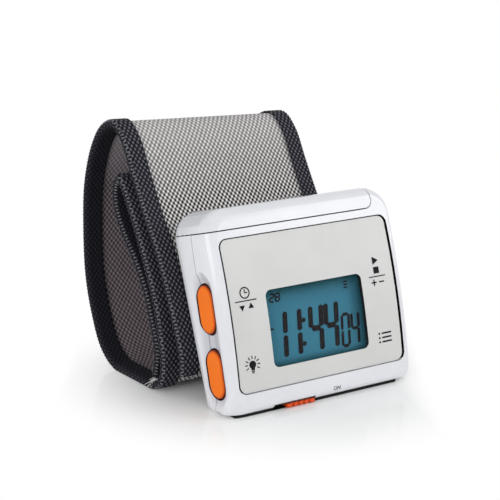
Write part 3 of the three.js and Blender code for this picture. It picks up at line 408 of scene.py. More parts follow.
def moulded(name, colour, roughness, grain, painted_shade=(), **sockets):
    """Moulded plastic: slight clouds in its colour, uneven gloss, fine grain and painted shade."""
    finish = Finish(name, **sockets)
    tone = finish.ramp(finish.noise(90, 3), (0.3, shade(colour, 0.965)), (0.7, shade(colour, 1.02)))
    for mark in painted_shade:
        tone = mark(finish, tone)
    finish.feed("Base Color", tone)
    finish.feed("Roughness", finish.span(finish.noise(260, 4), *roughness))
    finish.feed("Normal", finish.bump(finish.noise(3200), grain, 0.6))
    return finish.material


def metal(name, colour, roughness=(0.22, 0.42)):
    """Bare metal with drawn lines."""
    finish = Finish(name, Metallic=1.0)
    lines = finish.noise(900, 3, stretch=(12, 1, 12))
    finish.feed("Base Color", finish.ramp(
        lines, (0.25, shade(colour, 0.86)), (0.75, shade(colour, 1.05))))
    finish.feed("Roughness", finish.span(lines, *roughness))
    finish.feed("Normal", finish.bump(lines, 0.000008, 0.5))
    return finish.material


def mottled(name, colour, dark, light, scale, roughness, rough_scale, **sockets):
    """Ink or thread: a colour that wanders between two shares of it, with an uneven gloss. Each
    share comes with its stop on the noise."""
    finish = Finish(name, **sockets)
    finish.feed("Base Color", finish.ramp(finish.noise(scale), *(
        (stop, shade(colour, share)) for stop, share in (dark, light))))
    finish.feed("Roughness", finish.span(finish.noise(rough_scale), *roughness))
    return finish.material


def woven(name, light, dark, strap, stops=(0.24, 0.56, 0.9), plain=None, lit_top=None):
    """Plain weave on the strap's own map: pale crowns where a yarn lies on top, dark gaps between.
    The crowns fade between two millimetre marks across the map, where these are given, and the
    weave turns towards a paler colour near the top of the loop, as painted light."""
    finish = Finish(name, Specular_IOR_Level=0.12)
    place = finish.node("ShaderNodeUVMap", uv_map="Weave").outputs[0]
    waver = finish.node("ShaderNodeTexNoise", {
        "Vector": place, "Scale": 0.55, "Detail": 2.0}).outputs["Color"]
    shift = finish.node("ShaderNodeVectorMath", {
        0: waver, 1: (0.5, 0.5, 0.5)}, operation="SUBTRACT").outputs[0]
    bent = finish.node("ShaderNodeVectorMath", {
        0: shift, 1: (0.22, 0.22, 0), 2: place}, operation="MULTIPLY_ADD").outputs[0]
    across, along, _ = finish.parts(bent)
    u = finish.math("SINE", finish.math("MULTIPLY", across, math.pi / (1000 * strap.yarn_across)))
    v = finish.math("COSINE", finish.math("MULTIPLY", along, math.pi / (1000 * strap.yarn_along)))
    weave = finish.math("MULTIPLY_ADD", finish.math("MULTIPLY", u, v), 0.5, 0.5)
    slub = finish.noise(2.2, 3, vector=place, stretch=(1, 0.12, 1))
    fibre = finish.noise(9, 2, vector=place)
    uneven = finish.math("MULTIPLY_ADD", slub, 0.25,
                         finish.math("MULTIPLY_ADD", fibre, 0.2, -0.225))
    level = finish.math("ADD", weave, uneven)
    middle = tuple(0.62 * a + 0.38 * b for a, b in zip(dark, light))
    colour = finish.ramp(level, *zip(stops, (dark, middle, light)), easing="EASE")
    if plain:
        colour = finish.mix(finish.span(across, 0.85, 0, *plain), colour, dark)
    if lit_top:
        height = finish.parts(finish.place())[2]
        colour = finish.mix(finish.span(height, 0, TOP_LIGHT_SHARE, *TOP_LIGHT_HEIGHTS), colour, lit_top)
    finish.feed("Base Color", colour)
    finish.feed("Roughness", finish.span(fibre, 0.82, 0.98))
    finish.feed("Normal", finish.bump(level, WEAVE_RELIEF, 0.8))
    return finish.material


def dress(material, *names):
    """Gives CAD nodes their finish."""
    for name in names:
        node = NODES[name]
        node.data.materials.clear()
        node.data.materials.append(material)


def new_piece(name, mesh, *materials):
    """An object for a finished bmesh, which is freed."""
    data = bpy.data.meshes.new(name)
    mesh.to_mesh(data)
    mesh.free()
    for material in materials:
        data.materials.append(material)
    piece = bpy.data.objects.new(name, data)
    bpy.context.scene.collection.objects.link(piece)
    return piece


def smooth(mesh):
    for face in mesh.faces:
        face.smooth = True


def face_outwards(mesh):
    bmesh.ops.recalc_face_normals(mesh, faces=mesh.faces[:])


def extruded(mesh):
    """Extrudes all faces, and gives the points of the new ones."""
    made = bmesh.ops.extrude_face_region(mesh, geom=mesh.faces[:], use_keep_orig=True)["geom"]
    return [part for part in made if isinstance(part, bmesh.types.BMVert)]


# Flat printed shapes, drawn in the XY plane of a bmesh
def flat(x, y, turn=0.0, width=1.0, height=1.0):
    return (Matrix.Translation((x, y, 0)) @ Matrix.Rotation(turn, 4, "Z")
            @ Matrix.Diagonal((width, height, 1, 1)))


def bar(mesh, x, y, width, height, turn=0.0):
    bmesh.ops.create_grid(
        mesh, x_segments=1, y_segments=1, size=0.5, matrix=flat(x, y, turn, width, height))


def disc(mesh, x, y, radius, sides=24):
    return bmesh.ops.create_circle(
        mesh, cap_ends=True, segments=sides, radius=radius, matrix=flat(x, y))["verts"]


def ring(mesh, x, y, radius, stroke):
    face = disc(mesh, x, y, radius, 28)[0].link_faces[0]
    bmesh.ops.inset_region(
        mesh, faces=[face], thickness=stroke, use_boundary=True, use_even_offset=True)
    bmesh.ops.delete(mesh, geom=[face], context="FACES")


def triangle(mesh, x, y, size, turn):
    bmesh.ops.create_circle(
        mesh, cap_ends=True, segments=3, radius=size, matrix=flat(x, y, turn))


def segment(mesh, x, y, length, stroke, turn):
    """One segment of a digit: a bar along Y with pointed ends."""
    verts = bmesh.ops.create_grid(mesh, x_segments=2, y_segments=1, size=0.5)["verts"]
    for vert in verts:
        reach = 0.5 if abs(vert.co.x) < 0.25 else 0.5 - 0.3 * stroke / length
        vert.co.y = math.copysign(reach, vert.co.y)
    bmesh.ops.transform(mesh, matrix=flat(x, y, turn, stroke, length), verts=verts)


SEGMENTS = {"0": "abcdef", "1": "bc", "2": "abged", "3": "abgcd", "4": "fgbc", "5": "afgcd",
            "6": "afgedc", "7": "abc", "8": "abcdefg", "9": "abcdfg"}


def digit(mesh, sign, left, top, width, height, stroke):
    """A seven-segment digit; the strokes run down its middle lines."""
    half, right, middle = height / 2, left + width, left + width / 2
    upright = {"f": (left, top - half / 2), "b": (right, top - half / 2),
               "e": (left, top - 1.5 * half), "c": (right, top - 1.5 * half)}
    level = {"a": top, "g": top - half, "d": top - height}
    for key in SEGMENTS[sign]:
        if key in level:
            segment(mesh, middle, level[key], width - 0.25 * stroke, stroke, math.pi / 2)
        else:
            segment(mesh, *upright[key], half - 0.25 * stroke, stroke, 0)


def ink_on(mesh, node_name):
    """Lays a flat drawing on the front of a CAD node: X across and Y up along the case's face."""
    tree = BVHTree.FromObject(NODES[node_name], bpy.context.evaluated_depsgraph_get())
    for vert in mesh.verts:
        start = CASE_PLACE @ Vector((vert.co.x, INK_START, vert.co.y))
        hit = tree.ray_cast(start, INWARD)[0]
        if hit is None:
            raise RuntimeError(f"a mark misses {node_name} at {tuple(vert.co)}")
        vert.co = hit - INWARD * INK_PROUD
    thicken(mesh, INK_PROUD / 2)


def thicken(mesh, thickness):
    """Turns flat ink into a thin closed layer, with its front towards the viewer."""
    face_outwards(mesh)
    behind = [face for face in mesh.faces if face.normal.dot(INWARD) > 0]
    bmesh.ops.reverse_faces(mesh, faces=behind)
    bmesh.ops.translate(mesh, vec=-INWARD * thickness, verts=extruded(mesh))
    face_outwards(mesh)


def cubic(b, c, start, end, share):
    """Place and heading at a share of the way from b to c, on a curve with headings at its ends."""
    square = 3 * (c - b) - 2 * start - end
    cube = 2 * (b - c) + start + end
    place = b + share * start + share * share * square + share ** 3 * cube
    return place, start + 2 * share * square + 3 * share * share * cube


class Route:
    """Side view of the strap's middle line, from its cut end behind the case to the end of its
    folded tail."""

    keeper_up = 0.004
    band_gap = 0.00155
    tail_gap = 0.0053
    taper = 0.035
    steps = 3500

    # Places are (up, gap) behind the case, shares are of the loop's depth and height
    start_places = (
        (-0.0135, 0.0044), (-0.0095, band_gap + 0.0008), (-0.005, band_gap), (0.004, band_gap),
        (0.013, band_gap), (0.019, band_gap + 0.0003))
    wrist_shares = (
        (0.308, 0.68), (0.436, 0.828), (0.531, 0.943), (0.64, 1), (0.772, 0.97), (0.882, 0.885),
        (0.976, 0.731), (1, 0.556), (0.986, 0.352), (0.915, 0.196), (0.815, 0.076), (0.659, 0),
        (0.438, 0), (0.251, 0))
    upturn_shares = ((0.137, 0.048), (0.102, 0.128))
    rise_places = ((-0.0082, 0.0013), (0, 0), (0.01, 0))
    climb_shares = ((0.37, 0.653), (0.472, 0.764))
    fold_shares = ((0.526, 0.804), (0.571, 0.767), (0.569, 0.692), (0.498, 0.601), (0.377, 0.508))
    tail_places = ((0.0054, 0.0033), (-0.003, 0.0035), (-0.011, 0.0046), (-0.0174, 0.0084))

    def __init__(self, strap):
        self.strap = strap
        self.floor = strap.binding_thickness / 2
        self.points = [
            *(self.behind(*place) for place in self.start_places),
            *(self.round(*share) for share in self.wrist_shares + self.upturn_shares),
            *(self.tail(*place) for place in self.rise_places),
            *(self.round(*share) for share in self.climb_shares + self.fold_shares),
            *(self.tail(*place) for place in self.tail_places),
        ]
        self.upturn = len(self.start_places) + len(self.wrist_shares) + 1
        self.fold = len(self.points) - len(self.fold_shares) - len(self.tail_places)
        self.drifts = list(strap.drift)
        self.lengths = [0.0]
        last = self.at(0)[0]
        for step in range(1, self.steps + 1):
            point = self.at(step / self.steps)[0]
            self.lengths.append(self.lengths[-1] + (point - last).length)
            last = point
        self.length = self.lengths[-1]

    def behind(self, up, gap):
        """A point behind the case, at a height along its face and a gap from its back."""
        depth = FOOT_DEPTH + TOP_DEPTH_GAIN * (up + CASE_FOOT) / CASE_HEIGHT + gap
        return Vector((depth * math.cos(LEAN) + up * math.sin(LEAN),
                       up * math.cos(LEAN) - depth * math.sin(LEAN) + CASE_LIFT))

    def tail(self, up, gap):
        """A point behind the keeper, on the layers that lie over the strap's start."""
        return self.behind(self.keeper_up + up, self.tail_gap + gap)

    def round(self, depth, height):
        """A point of the wrist loop, in shares of its depth and height."""
        root = self.behind(0, 0).x
        return Vector((root + depth * self.strap.loop_depth,
                       max(height * self.strap.loop_height, self.floor)))

    def at(self, share):
        """Point and heading at a share of the route, on a centripetal spline through its points."""
        points = self.points
        place = share * (len(points) - 1)
        i = min(int(place), len(points) - 2)
        b, c = points[i], points[i + 1]
        a = points[i - 1] if i > 0 else 2 * b - c
        d = points[i + 2] if i + 2 < len(points) else 2 * c - b
        ab, bc, cd = (math.sqrt((q - p).length) for p, q in ((a, b), (b, c), (c, d)))
        start = ((b - a) / ab - (c - a) / (ab + bc) + (c - b) / bc) * bc
        end = ((c - b) / bc - (d - b) / (bc + cd) + (d - c) / cd) * bc
        point, heading = cubic(b, c, start, end, place - i)
        return point, heading.normalized()

    def drift(self, share):
        """How far the strap lies to the left, on a smooth curve through its set places."""
        last = len(self.drifts) - 1
        place = share * last
        i = min(int(place), last - 1)
        a, b, c, d = (self.drifts[min(max(i + step, 0), last)] for step in (-1, 0, 1, 2))
        return cubic(b, c, (c - a) / 2, (d - b) / 2, place - i)[0]

    def share_at(self, length):
        i = min(max(bisect.bisect_right(self.lengths, length) - 1, 0), self.steps - 1)
        step = self.lengths[i + 1] - self.lengths[i]
        return (i + (length - self.lengths[i]) / step) / self.steps

    def length_at(self, index):
        """Length of the strap up to one of its points, or to a place between two of them."""
        return self.lengths[round(index / (len(self.points) - 1) * self.steps)]

    def place(self, length, across, outward):
        """A point of the strap: along it, across from its left edge and outward from its middle."""
        share = self.share_at(length)
        middle, heading = self.at(share)
        shift = self.strap.left - self.drift(share)
        up = max(middle.y, self.floor)
        narrow = self.taper * up / self.strap.loop_height * across / self.strap.width
        return SHIFT + Vector((shift + across, middle.x - heading.y * outward,
                               (up + heading.x * outward) * (1 - narrow)))


def sheet_along(route, section, columns, rows, start, end):
    """A sheet swept along the strap. The section gives (across, outward) for a share of the sheet's
    width; its map runs in millimetres, across the sheet and along the strap."""
    mesh = bmesh.new()
    bmesh.ops.create_grid(mesh, x_segments=columns, y_segments=rows, size=1)
    steps = 60
    width = sum((Vector(section((i + 1) / steps)) - Vector(section(i / steps))).length
                for i in range(steps))

    def shares(vert):
        return (vert.co.x + 1) / 2, (vert.co.y + 1) / 2

    layer = mesh.loops.layers.uv.new("Weave")
    for face in mesh.faces:
        for loop in face.loops:
            u, v = shares(loop.vert)
            loop[layer].uv = (1000 * u * width, 1000 * (start + v * (end - start)))
    for vert in mesh.verts:
        u, v = shares(vert)
        vert.co = route.place(start + v * (end - start), *section(u))
    smooth(mesh)
    return mesh


def walled(piece, thickness, offset, back=0):
    """Gives a sheet its thickness; its far side takes the material that many slots further on."""
    wall = piece.modifiers.new("Wall", "SOLIDIFY")
    wall.thickness = thickness
    wall.offset = offset
    wall.use_even_offset = False
    wall.material_offset = back


class CLOCK_OT_stage(bpy.types.Operator):
    """Make the camera, the pale glossy floor, the room and the lamps"""

    bl_idname = "clock.stage"
    bl_label = "Stage"

    floor_half, floor_drop = 4, 0.00004
    fade_middle, fade_round, fade_aside = (0.006, -0.008, 0), (0.025, 0.064), (0.037, 0.048)
    lamps = (("key_lamp", (-0.64, -0.32, 0.3), 0.5, "key_power"),
             ("fill_lamp", (0.55, -0.45, 0.36), 0.45, "fill_power"),
             ("top_lamp", (0.05, 0.16, 0.8), 0.6, "top_power"))
    lamp_aim = Vector((0, 0, 0.03))

    def execute(self, context):
        stage = context.scene.clock_stage
        camera = bpy.data.objects.new("camera", bpy.data.cameras.new("camera"))
        camera.location = stage.camera_place
        camera.rotation_euler = (stage.camera_tilt, 0, stage.camera_turn)
        camera.data.lens = stage.lens
        camera.data.clip_start = 0.01
        context.scene.collection.objects.link(camera)
        context.scene.camera = camera
        context.scene.view_settings.view_transform = "Standard"
        self.floor(stage)
        self.room(context.scene, stage)
        for name, place, size, power in self.lamps:
            self.lamp(name, place, size, getattr(stage, power))
        return {"FINISHED"}

    def floor(self, stage):
        """A glossy floor that fades to the white of the room away from the clock."""
        finish = Finish("floor", Roughness=0.12, Specular_IOR_Level=0.35)
        finish.feed("Base Color", finish.ramp(
            finish.noise(30), (0.2, shade(stage.floor_colour, 0.985)),
            (0.8, shade(stage.floor_colour, 1.015))))
        round_clock = finish.node("ShaderNodeVectorMath", {
            0: finish.place(), 1: self.fade_middle}, operation="DISTANCE").outputs["Value"]
        across = finish.parts(finish.turned((0, 0, -stage.camera_turn)))[0]
        aside = finish.math("ABSOLUTE", across)
        fade = 0.0
        for away, (start, end) in ((round_clock, self.fade_round), (aside, self.fade_aside)):
            past = finish.node("ShaderNodeMapRange", {
                "Value": away, "From Min": start, "From Max": end},
                interpolation_type="SMOOTHSTEP").outputs[0]
            fade = finish.math("MAXIMUM", fade, past)
        white = finish.node("ShaderNodeEmission", {"Color": (1, 1, 1, 1), "Strength": 1.0})
        finish.blend(finish.math("MULTIPLY", fade, finish.seen()), finish.shader, white,
                     "Material Output")
        mesh = bmesh.new()
        bmesh.ops.create_grid(mesh, x_segments=8, y_segments=8, size=self.floor_half,
                              matrix=Matrix.Translation((0, 0, -self.floor_drop)))
        new_piece("floor", mesh, finish.material)

    def room(self, scene, stage):
        """White to the eye and in reflections, dimmer as light."""
        world = bpy.data.worlds.new("room")
        world.use_nodes = True
        room = Nodes(world.node_tree)
        dim = room.tree.nodes["Background"]
        room.put((0.95, 0.97, 1, 1), dim.inputs["Color"])
        room.put(stage.room_light, dim.inputs["Strength"])
        white = room.node("ShaderNodeBackground", {"Color": (1, 1, 1, 1)})
        room.blend(room.seen(), dim, white, "World Output")
        scene.world = world

    def lamp(self, name, place, size, power):
        """A square soft lamp that points at the clock."""
        lamp = bpy.data.lights.new(name, "AREA")
        lamp.size = size
        lamp.energy = power
        thing = bpy.data.objects.new(name, lamp)
        thing.location = place
        aim = self.lamp_aim - Vector(place)
        thing.rotation_euler = aim.to_track_quat("-Z", "Y").to_euler()
        bpy.context.scene.collection.objects.link(thing)


class CLOCK_OT_case_finish(bpy.types.Operator):
    """Finish the white case, its door and the face plate"""

    bl_idname = "clock.case_finish"
    bl_label = "Case"

    recess_sink, plate_sink = 0.00012, 0.0004

    def execute(self, context):
        case = context.scene.clock_case
        gloss = {"roughness": (0.16, 0.24), "grain": 0.000004,
                 "Coat_Weight": 0.2, "Coat_Roughness": 0.08}
        # Painted shade in the grooves, the knob's notch and round the plate, and on the plate's
        # sides
        dress(moulded("case_plastic", case.case_colour, painted_shade=[shaded_groove], **gloss),
              "back_housing", "battery_door")
        front_shade = [shaded_groove, shaded_notch, shaded_plate_gap(self.recess_sink)]
        dress(moulded("front_plastic", case.case_colour, painted_shade=front_shade, **gloss), "front_housing")
        dress(moulded("plate_satin", case.plate_colour, (0.36, 0.46), 0.000012,
                      [shaded_plate_gap(self.plate_sink)]), "face_plate")
        return {"FINISHED"}


class CLOCK_OT_gap_shade_strip(bpy.types.Operator):
    """Lay a black strip under the front half of the case, as painted shade in the gap there"""

    bl_idname = "clock.foot_pad"
    bl_label = "Foot pad"

    inset = 0.0001
    clear = 0.00006
    level_slack = 0.00002
    ends = (-0.0232, 0.0262)
    knob_depth = 0.0038

    def execute(self, context):
        mesh = bmesh.new()
        mesh.from_mesh(NODES["front_housing"].data)
        bmesh.ops.remove_doubles(mesh, verts=mesh.verts[:], dist=SAME_POINT)
        level = min(vert.co.z for vert in mesh.verts)
        rest = [face for face in mesh.faces if face.normal.z > -0.99
                or face.calc_center_median().z > level + self.level_slack]
        bmesh.ops.delete(mesh, geom=rest, context="FACES")
        bmesh.ops.dissolve_limit(mesh, angle_limit=math.radians(1), verts=mesh.verts[:],
                                 edges=mesh.edges[:], use_dissolve_boundaries=False)
        rim = bmesh.ops.inset_region(mesh, faces=mesh.faces[:], thickness=self.inset,
                                     use_boundary=True, use_even_offset=True)["faces"]
        bmesh.ops.delete(mesh, geom=rim, context="FACES")
        for end in self.ends:
            bmesh.ops.bisect_plane(
                mesh, geom=mesh.verts[:] + mesh.edges[:] + mesh.faces[:], plane_co=(end, 0, 0),
                plane_no=(math.copysign(1, end), 0, 0), clear_outer=True)
        lower = extruded(mesh)
        moved = set(lower)
        upper = [vert for vert in mesh.verts if vert not in moved]
        bmesh.ops.translate(mesh, vec=(0, 0, self.clear - level), verts=lower)
        bmesh.ops.translate(mesh, vec=(0, 0, -self.clear), verts=upper)
        self.strip_under_knob(mesh)
        face_outwards(mesh)
        # Black as painted shade for the shadow in the gap under the case
        rubber_and_shade = moulded("foot_rubber", (0.004, 0.004, 0.0045), (0.65, 0.85), 0.00004,
                         Specular_IOR_Level=0.2)
        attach(new_piece("foot_pad", mesh, rubber_and_shade), FIXED)
        return {"FINISHED"}

    def strip_under_knob(self, mesh):
        """The thin part of the black strip that passes under the slide knob."""
        front = min(vert.co.y for vert in mesh.verts)
        place = (SHIFT.x + NOTCH_MIDDLE, front + self.knob_depth / 2, 1.6 * self.clear)
        size = (NOTCH_WIDTH + 4 * self.inset, self.knob_depth, 1.2 * self.clear, 1)
        bmesh.ops.create_cube(
            mesh, size=1, matrix=Matrix.Translation(place) @ Matrix.Diagonal(size))


class CLOCK_OT_control_finish(bpy.types.Operator):
    """Finish the orange buttons and the slide knob"""

    bl_idname = "clock.control_finish"
    bl_label = "Controls"

    def execute(self, context):
        case = context.scene.clock_case
        # The caps take painted shade on their edges and sides
        caps = moulded("button_plastic", case.button_colour, (0.34, 0.46), 0.00001, [shaded_cap_edge],
                       Specular_IOR_Level=0.15)
        dress(caps, *(f"button_{place}" for place in BUTTONS))
        # The knob's colour holds painted shade as well as its own redder hue
        dress(moulded("knob_plastic", case.knob_hue_and_shade, (0.4, 0.52), 0.00001,
                      Specular_IOR_Level=0.3), "slide_knob")
        return {"FINISHED"}


class CLOCK_OT_display_finish(bpy.types.Operator):
    """Finish the window, the display and the light guide behind it"""

    bl_idname = "clock.display_finish"
    bl_label = "Display"

    # Where the shadow of each edge of the window starts and ends on the display
    right_shadow, left_shadow = (0.0105, 0.0152), (-0.0132, -0.0148)
    top_shadow, foot_shadow = (-0.001, 0.0054), (-0.0124, -0.0142)

    def execute(self, context):
        clear = Finish("window_clear", Alpha=0.02, IOR=1.49)
        smear = clear.noise(140, 3)
        clear.feed("Base Color", clear.ramp(
            smear, (0.3, (0.3, 0.38, 0.42)), (0.7, (0.36, 0.44, 0.48))))
        clear.feed("Roughness", clear.span(smear, 0.03, 0.09))
        dress(clear.material, "window_lens")
        self.panel(context.scene.clock_case.display_colour)
        guide = moulded("light_guide", (0.72, 0.86, 0.9), (0.4, 0.55), 0.00002,
                        Transmission_Weight=0.2)
        dress(guide, "lcd_backlight")
        rubber_and_shade = Finish("connector_rubber")
        bands = rubber_and_shade.node("ShaderNodeTexWave", {
            "Vector": rubber_and_shade.place(), "Scale": 900.0, "Distortion": 0.0},
            bands_direction="X").outputs["Fac"]
        rubber_and_shade.feed("Base Color", rubber_and_shade.ramp(
            bands, (0.4, (0.55, 0.28, 0.3)), (0.6, (0.05, 0.045, 0.05))))
        rubber_and_shade.feed("Roughness", rubber_and_shade.span(rubber_and_shade.noise(400), 0.7, 0.9))
        dress(rubber_and_shade.material, "lcd_connector")
        return {"FINISHED"}

    def panel(self, blue):
        """Blue display, darker under the edges of the window and mottled as liquid crystal is."""
        lit = Finish("display_blue", Specular_IOR_Level=0.03)
        x, _, z = lit.in_case()
        right = lit.math("POWER", lit.span(x, 0, 0.8, *self.right_shadow), 2.0)
        left = lit.math("MULTIPLY", lit.span(x, 0, 1, *self.left_shadow), 0.6)
        top = lit.math("POWER", lit.span(z, 0, 1, *self.top_shadow), 1.6)
        foot = lit.math("MULTIPLY", lit.span(z, 0, 1, *self.foot_shadow), 0.8)
        edge = lit.math("MAXIMUM", lit.math("MAXIMUM", right, left),
                        lit.math("MAXIMUM", top, foot))
        mottle = lit.noise(420, 3)
        depth = lit.math("MULTIPLY_ADD", mottle, 0.16, lit.math("ADD", edge, -0.08))
        colour = lit.ramp(depth, (0.0, shade(blue, 1.12)), (0.35, shade(blue, 0.9)),
                          (0.85, (0.006, 0.07, 0.085)), (1.0, (0.003, 0.016, 0.018)))
        lit.feed("Base Color", colour)
        lit.feed("Emission Color", colour)
        lit.feed("Emission Strength", 0.08)
        lit.feed("Roughness", lit.span(mottle, 0.25, 0.4))
        dress(lit.material, "lcd_panel")


class CLOCK_OT_inner_finish(bpy.types.Operator):
    """Finish what is inside the case, and the strap's keeper"""

    bl_idname = "clock.inner_finish"
    bl_label = "Inside"

    def execute(self, context):
        steel = metal("bright_steel", (0.62, 0.63, 0.65))
        dress(steel, "contact_plate", "contact_leaf", "motor_can", "motor_shaft", "slide_switch")
        dress(metal("weight_metal", (0.3, 0.28, 0.26), (0.35, 0.55)), "motor_weight")
        dress(moulded("black_plastic", (0.02, 0.02, 0.023), (0.4, 0.55), 0.00003),
              "strap_keeper", *(f"push_switch_{place}" for place in BUTTONS))
        dress(moulded("plunger_plastic", (0.68, 0.64, 0.55), (0.35, 0.5), 0.00001),
              *(f"plunger_{place}" for place in BUTTONS))
        self.board()
        self.cell()
        return {"FINISHED"}

    def board(self):
        """Green board with copper tracks under its lacquer."""
        board = Finish("board_lacquer", Coat_Weight=0.4, Coat_Roughness=0.15)
        tracks = board.node("ShaderNodeTexBrick", {
            "Vector": board.turned((math.pi / 2, 0, 0)), "Color1": (0.012, 0.1, 0.045, 1),
            "Color2": (0.016, 0.12, 0.05, 1), "Mortar": (0.05, 0.26, 0.1, 1),
            "Scale": 160.0, "Mortar Size": 0.03}, offset=0.37, squash=0.6).outputs
        board.feed("Base Color", board.mix(
            board.span(board.noise(500), 0, 0.35), tracks["Color"], (0.02, 0.09, 0.05)))
        board.feed("Roughness", board.span(board.noise(300), 0.3, 0.5))
        board.feed("Normal", board.bump(tracks["Fac"], 0.00003, 0.5))
        dress(board.material, "circuit_board")

    def cell(self):
        """Steel cell in a printed sleeve, with a bright ring at its raised end."""
        cell = Finish("cell_sleeve", Metallic=0.6)
        low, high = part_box("battery_cell")
        share = cell.span(cell.parts(cell.place())[0], 0, 1, low.x, high.x)
        colour = cell.ramp(
            share, (0.0, (0.5, 0.5, 0.5)), (0.02, (0.03, 0.05, 0.09)), (0.72, (0.05, 0.08, 0.13)),
            (0.73, (0.55, 0.33, 0.14)), (0.965, (0.6, 0.6, 0.6)), easing="CONSTANT")
        cell.feed("Base Color", cell.mix(
            cell.span(cell.noise(200, 3), 0, 0.12), colour, (0.4, 0.4, 0.42)))
        cell.feed("Roughness", cell.span(cell.noise(350, 3), 0.25, 0.42))
        dress(cell.material, "battery_cell")


class CLOCK_OT_digits(bpy.types.Operator):
    """Draw the display's segments: the time, the seconds and small marks"""

    bl_idname = "clock.digits"
    bl_label = "Digits"

    # Left edge of each digit; the small digits have (top, width, height, stroke)
    time_lefts, time_top = (-0.0113, -0.00695, -0.0003, 0.00445), -0.00085
    seconds_lefts, seconds_size = (0.0094, 0.01245), (-0.0047, 0.0021, 0.0079, 0.0008)
    day, day_lefts, day_size = "28", (-0.0123, -0.0106), (0.0037, 0.0012, 0.0019, 0.00042)
    colon_dots, colon_radius = ((-0.00245, -0.0041), (-0.00245, -0.00995)), 0.00062
    sunk, layer = 0.00003, 0.00004

    def execute(self, context):
        case = context.scene.clock_case
        time_size = (self.time_top, case.digit_width, case.digit_height, case.digit_stroke)
        mesh = bmesh.new()
        for signs, lefts, size in ((case.hours_minutes, self.time_lefts, time_size),
                                   (case.seconds, self.seconds_lefts, self.seconds_size),
                                   (self.day, self.day_lefts, self.day_size)):
            for sign, left in zip(signs, lefts):
                digit(mesh, sign, left, *size)
        for x, y in self.colon_dots:
            disc(mesh, x, y, self.colon_radius, 10)
        for i in range(3):
            bar(mesh, 0.0110, 0.0035 - 0.00075 * i, 0.0012, 0.00036)
        bar(mesh, -0.0122, -0.0048, 0.0015, 0.0004, math.radians(-8))
        for vert in mesh.verts:
            slant = math.tan(case.digit_slant) * (vert.co.y - self.time_top)
            vert.co = CASE_PLACE @ Vector((
                vert.co.x + slant, PANEL_DEPTH - self.sunk, vert.co.y))
        thicken(mesh, self.layer)
        ink = mottled("display_segments", case.digit_colour, (0.2, 0.8), (0.8, 1.5), 900,
                      (0.35, 0.5), 500, Specular_IOR_Level=0.0)
        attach(new_piece("display_digits", mesh, ink), FIXED)
        return {"FINISHED"}


class CLOCK_OT_marks(bpy.types.Operator):
    """Print the plain marks on the face plate and beside the slide knob"""

    bl_idname = "clock.marks"
    bl_label = "Printed marks"

    line = 0.00026
    switch_place, switch_size = (0.0034, -0.0229, 0), 0.0014

    def execute(self, context):
        ink = mottled("printed_ink", context.scene.clock_case.ink_colour, (0.3, 0.7), (0.7, 1.3),
                      1500, (0.4, 0.6), 700, Specular_IOR_Level=0.05)
        mesh = bmesh.new()
        self.lamp_mark(mesh, -0.0209, -0.0122)
        self.clock_mark(mesh, -0.0205, 0.0036)
        self.start_mark(mesh, 0.0198, 0.0040)
        self.list_mark(mesh, 0.0199, -0.0123)
        ink_on(mesh, "face_plate")
        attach(new_piece("face_marks", mesh, ink), FIXED)
        self.switch_mark(ink)
        return {"FINISHED"}

    def lamp_mark(self, mesh, x, y):
        """A glowing bulb: a round head, a neck, a screw foot and short rays."""
        head, rays = y + 0.0001, 0.0018
        disc(mesh, x, head, 0.00098)
        bar(mesh, x, y - 0.0009, 0.0010, 0.0007)
        for i in range(2):
            bar(mesh, x, y - 0.0015 - 0.0004 * i, 0.0009 - 0.0003 * i, self.line)
        for i in range(9):
            angle = math.radians(-30 + 30 * i)
            bar(mesh, x + rays * math.cos(angle), head + rays * math.sin(angle),
                0.0008, 0.00024, angle)

    def clock_mark(self, mesh, x, y):
        """A dial with two hands over a line, and a pair of set arrows under it."""
        dial, arrows = y + 0.00185, y - 0.0016
        ring(mesh, x, dial, 0.00145, 0.0003)
        bar(mesh, x, y + 0.0023, self.line, 0.0009)
        bar(mesh, x + 0.00037, dial, 0.00074, self.line)
        bar(mesh, x, y - 0.0001, 0.0062, self.line)
        triangle(mesh, x - 0.0013, arrows, 0.0009, math.pi)
        triangle(mesh, x + 0.0013, arrows, 0.0009, 0)

    def start_mark(self, mesh, x, y):
        """A start triangle and a stop square over a line, and a plus and a minus under it."""
        signs = y - 0.0020
        triangle(mesh, x - 0.0002, y + 0.0036, 0.0012, -math.pi / 2)
        bar(mesh, x, y + 0.0011, 0.0017, 0.0017)
        bar(mesh, x, y - 0.0005, 0.0052, self.line)
        for side, turn in ((-1, 0), (-1, math.pi / 2), (1, 0)):
            bar(mesh, x + side * 0.0012, signs, 0.0016, 0.00034, turn)

    def list_mark(self, mesh, x, y):
        """Three lines with dots, for choosing from a list."""
        for i in range(3):
            row = y + 0.0011 - 0.0011 * i
            bar(mesh, x + 0.0006, row, 0.0030, 0.0004)
            disc(mesh, x - 0.0017, row, 0.00028, 10)

    def switch_mark(self, ink):
        """ON beside the slide knob, in raised print on the foot of the case."""
        words = bpy.data.curves.new("switch_mark", "FONT")
        words.body = "ON"
        words.size = self.switch_size
        words.align_x = "CENTER"
        words.resolution_u = 3
        holder = bpy.data.objects.new("switch_words", words)
        bpy.context.scene.collection.objects.link(holder)
        bpy.context.view_layer.update()
        data = bpy.data.meshes.new_from_object(holder)
        bpy.data.objects.remove(holder)
        mesh = bmesh.new()
        mesh.from_mesh(data)
        bpy.data.meshes.remove(data)
        bmesh.ops.remove_doubles(mesh, verts=mesh.verts[:], dist=SAME_POINT)
        bmesh.ops.translate(mesh, vec=self.switch_place, verts=mesh.verts[:])
        ink_on(mesh, "front_housing")
        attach(new_piece("switch_mark", mesh, ink), FIXED)


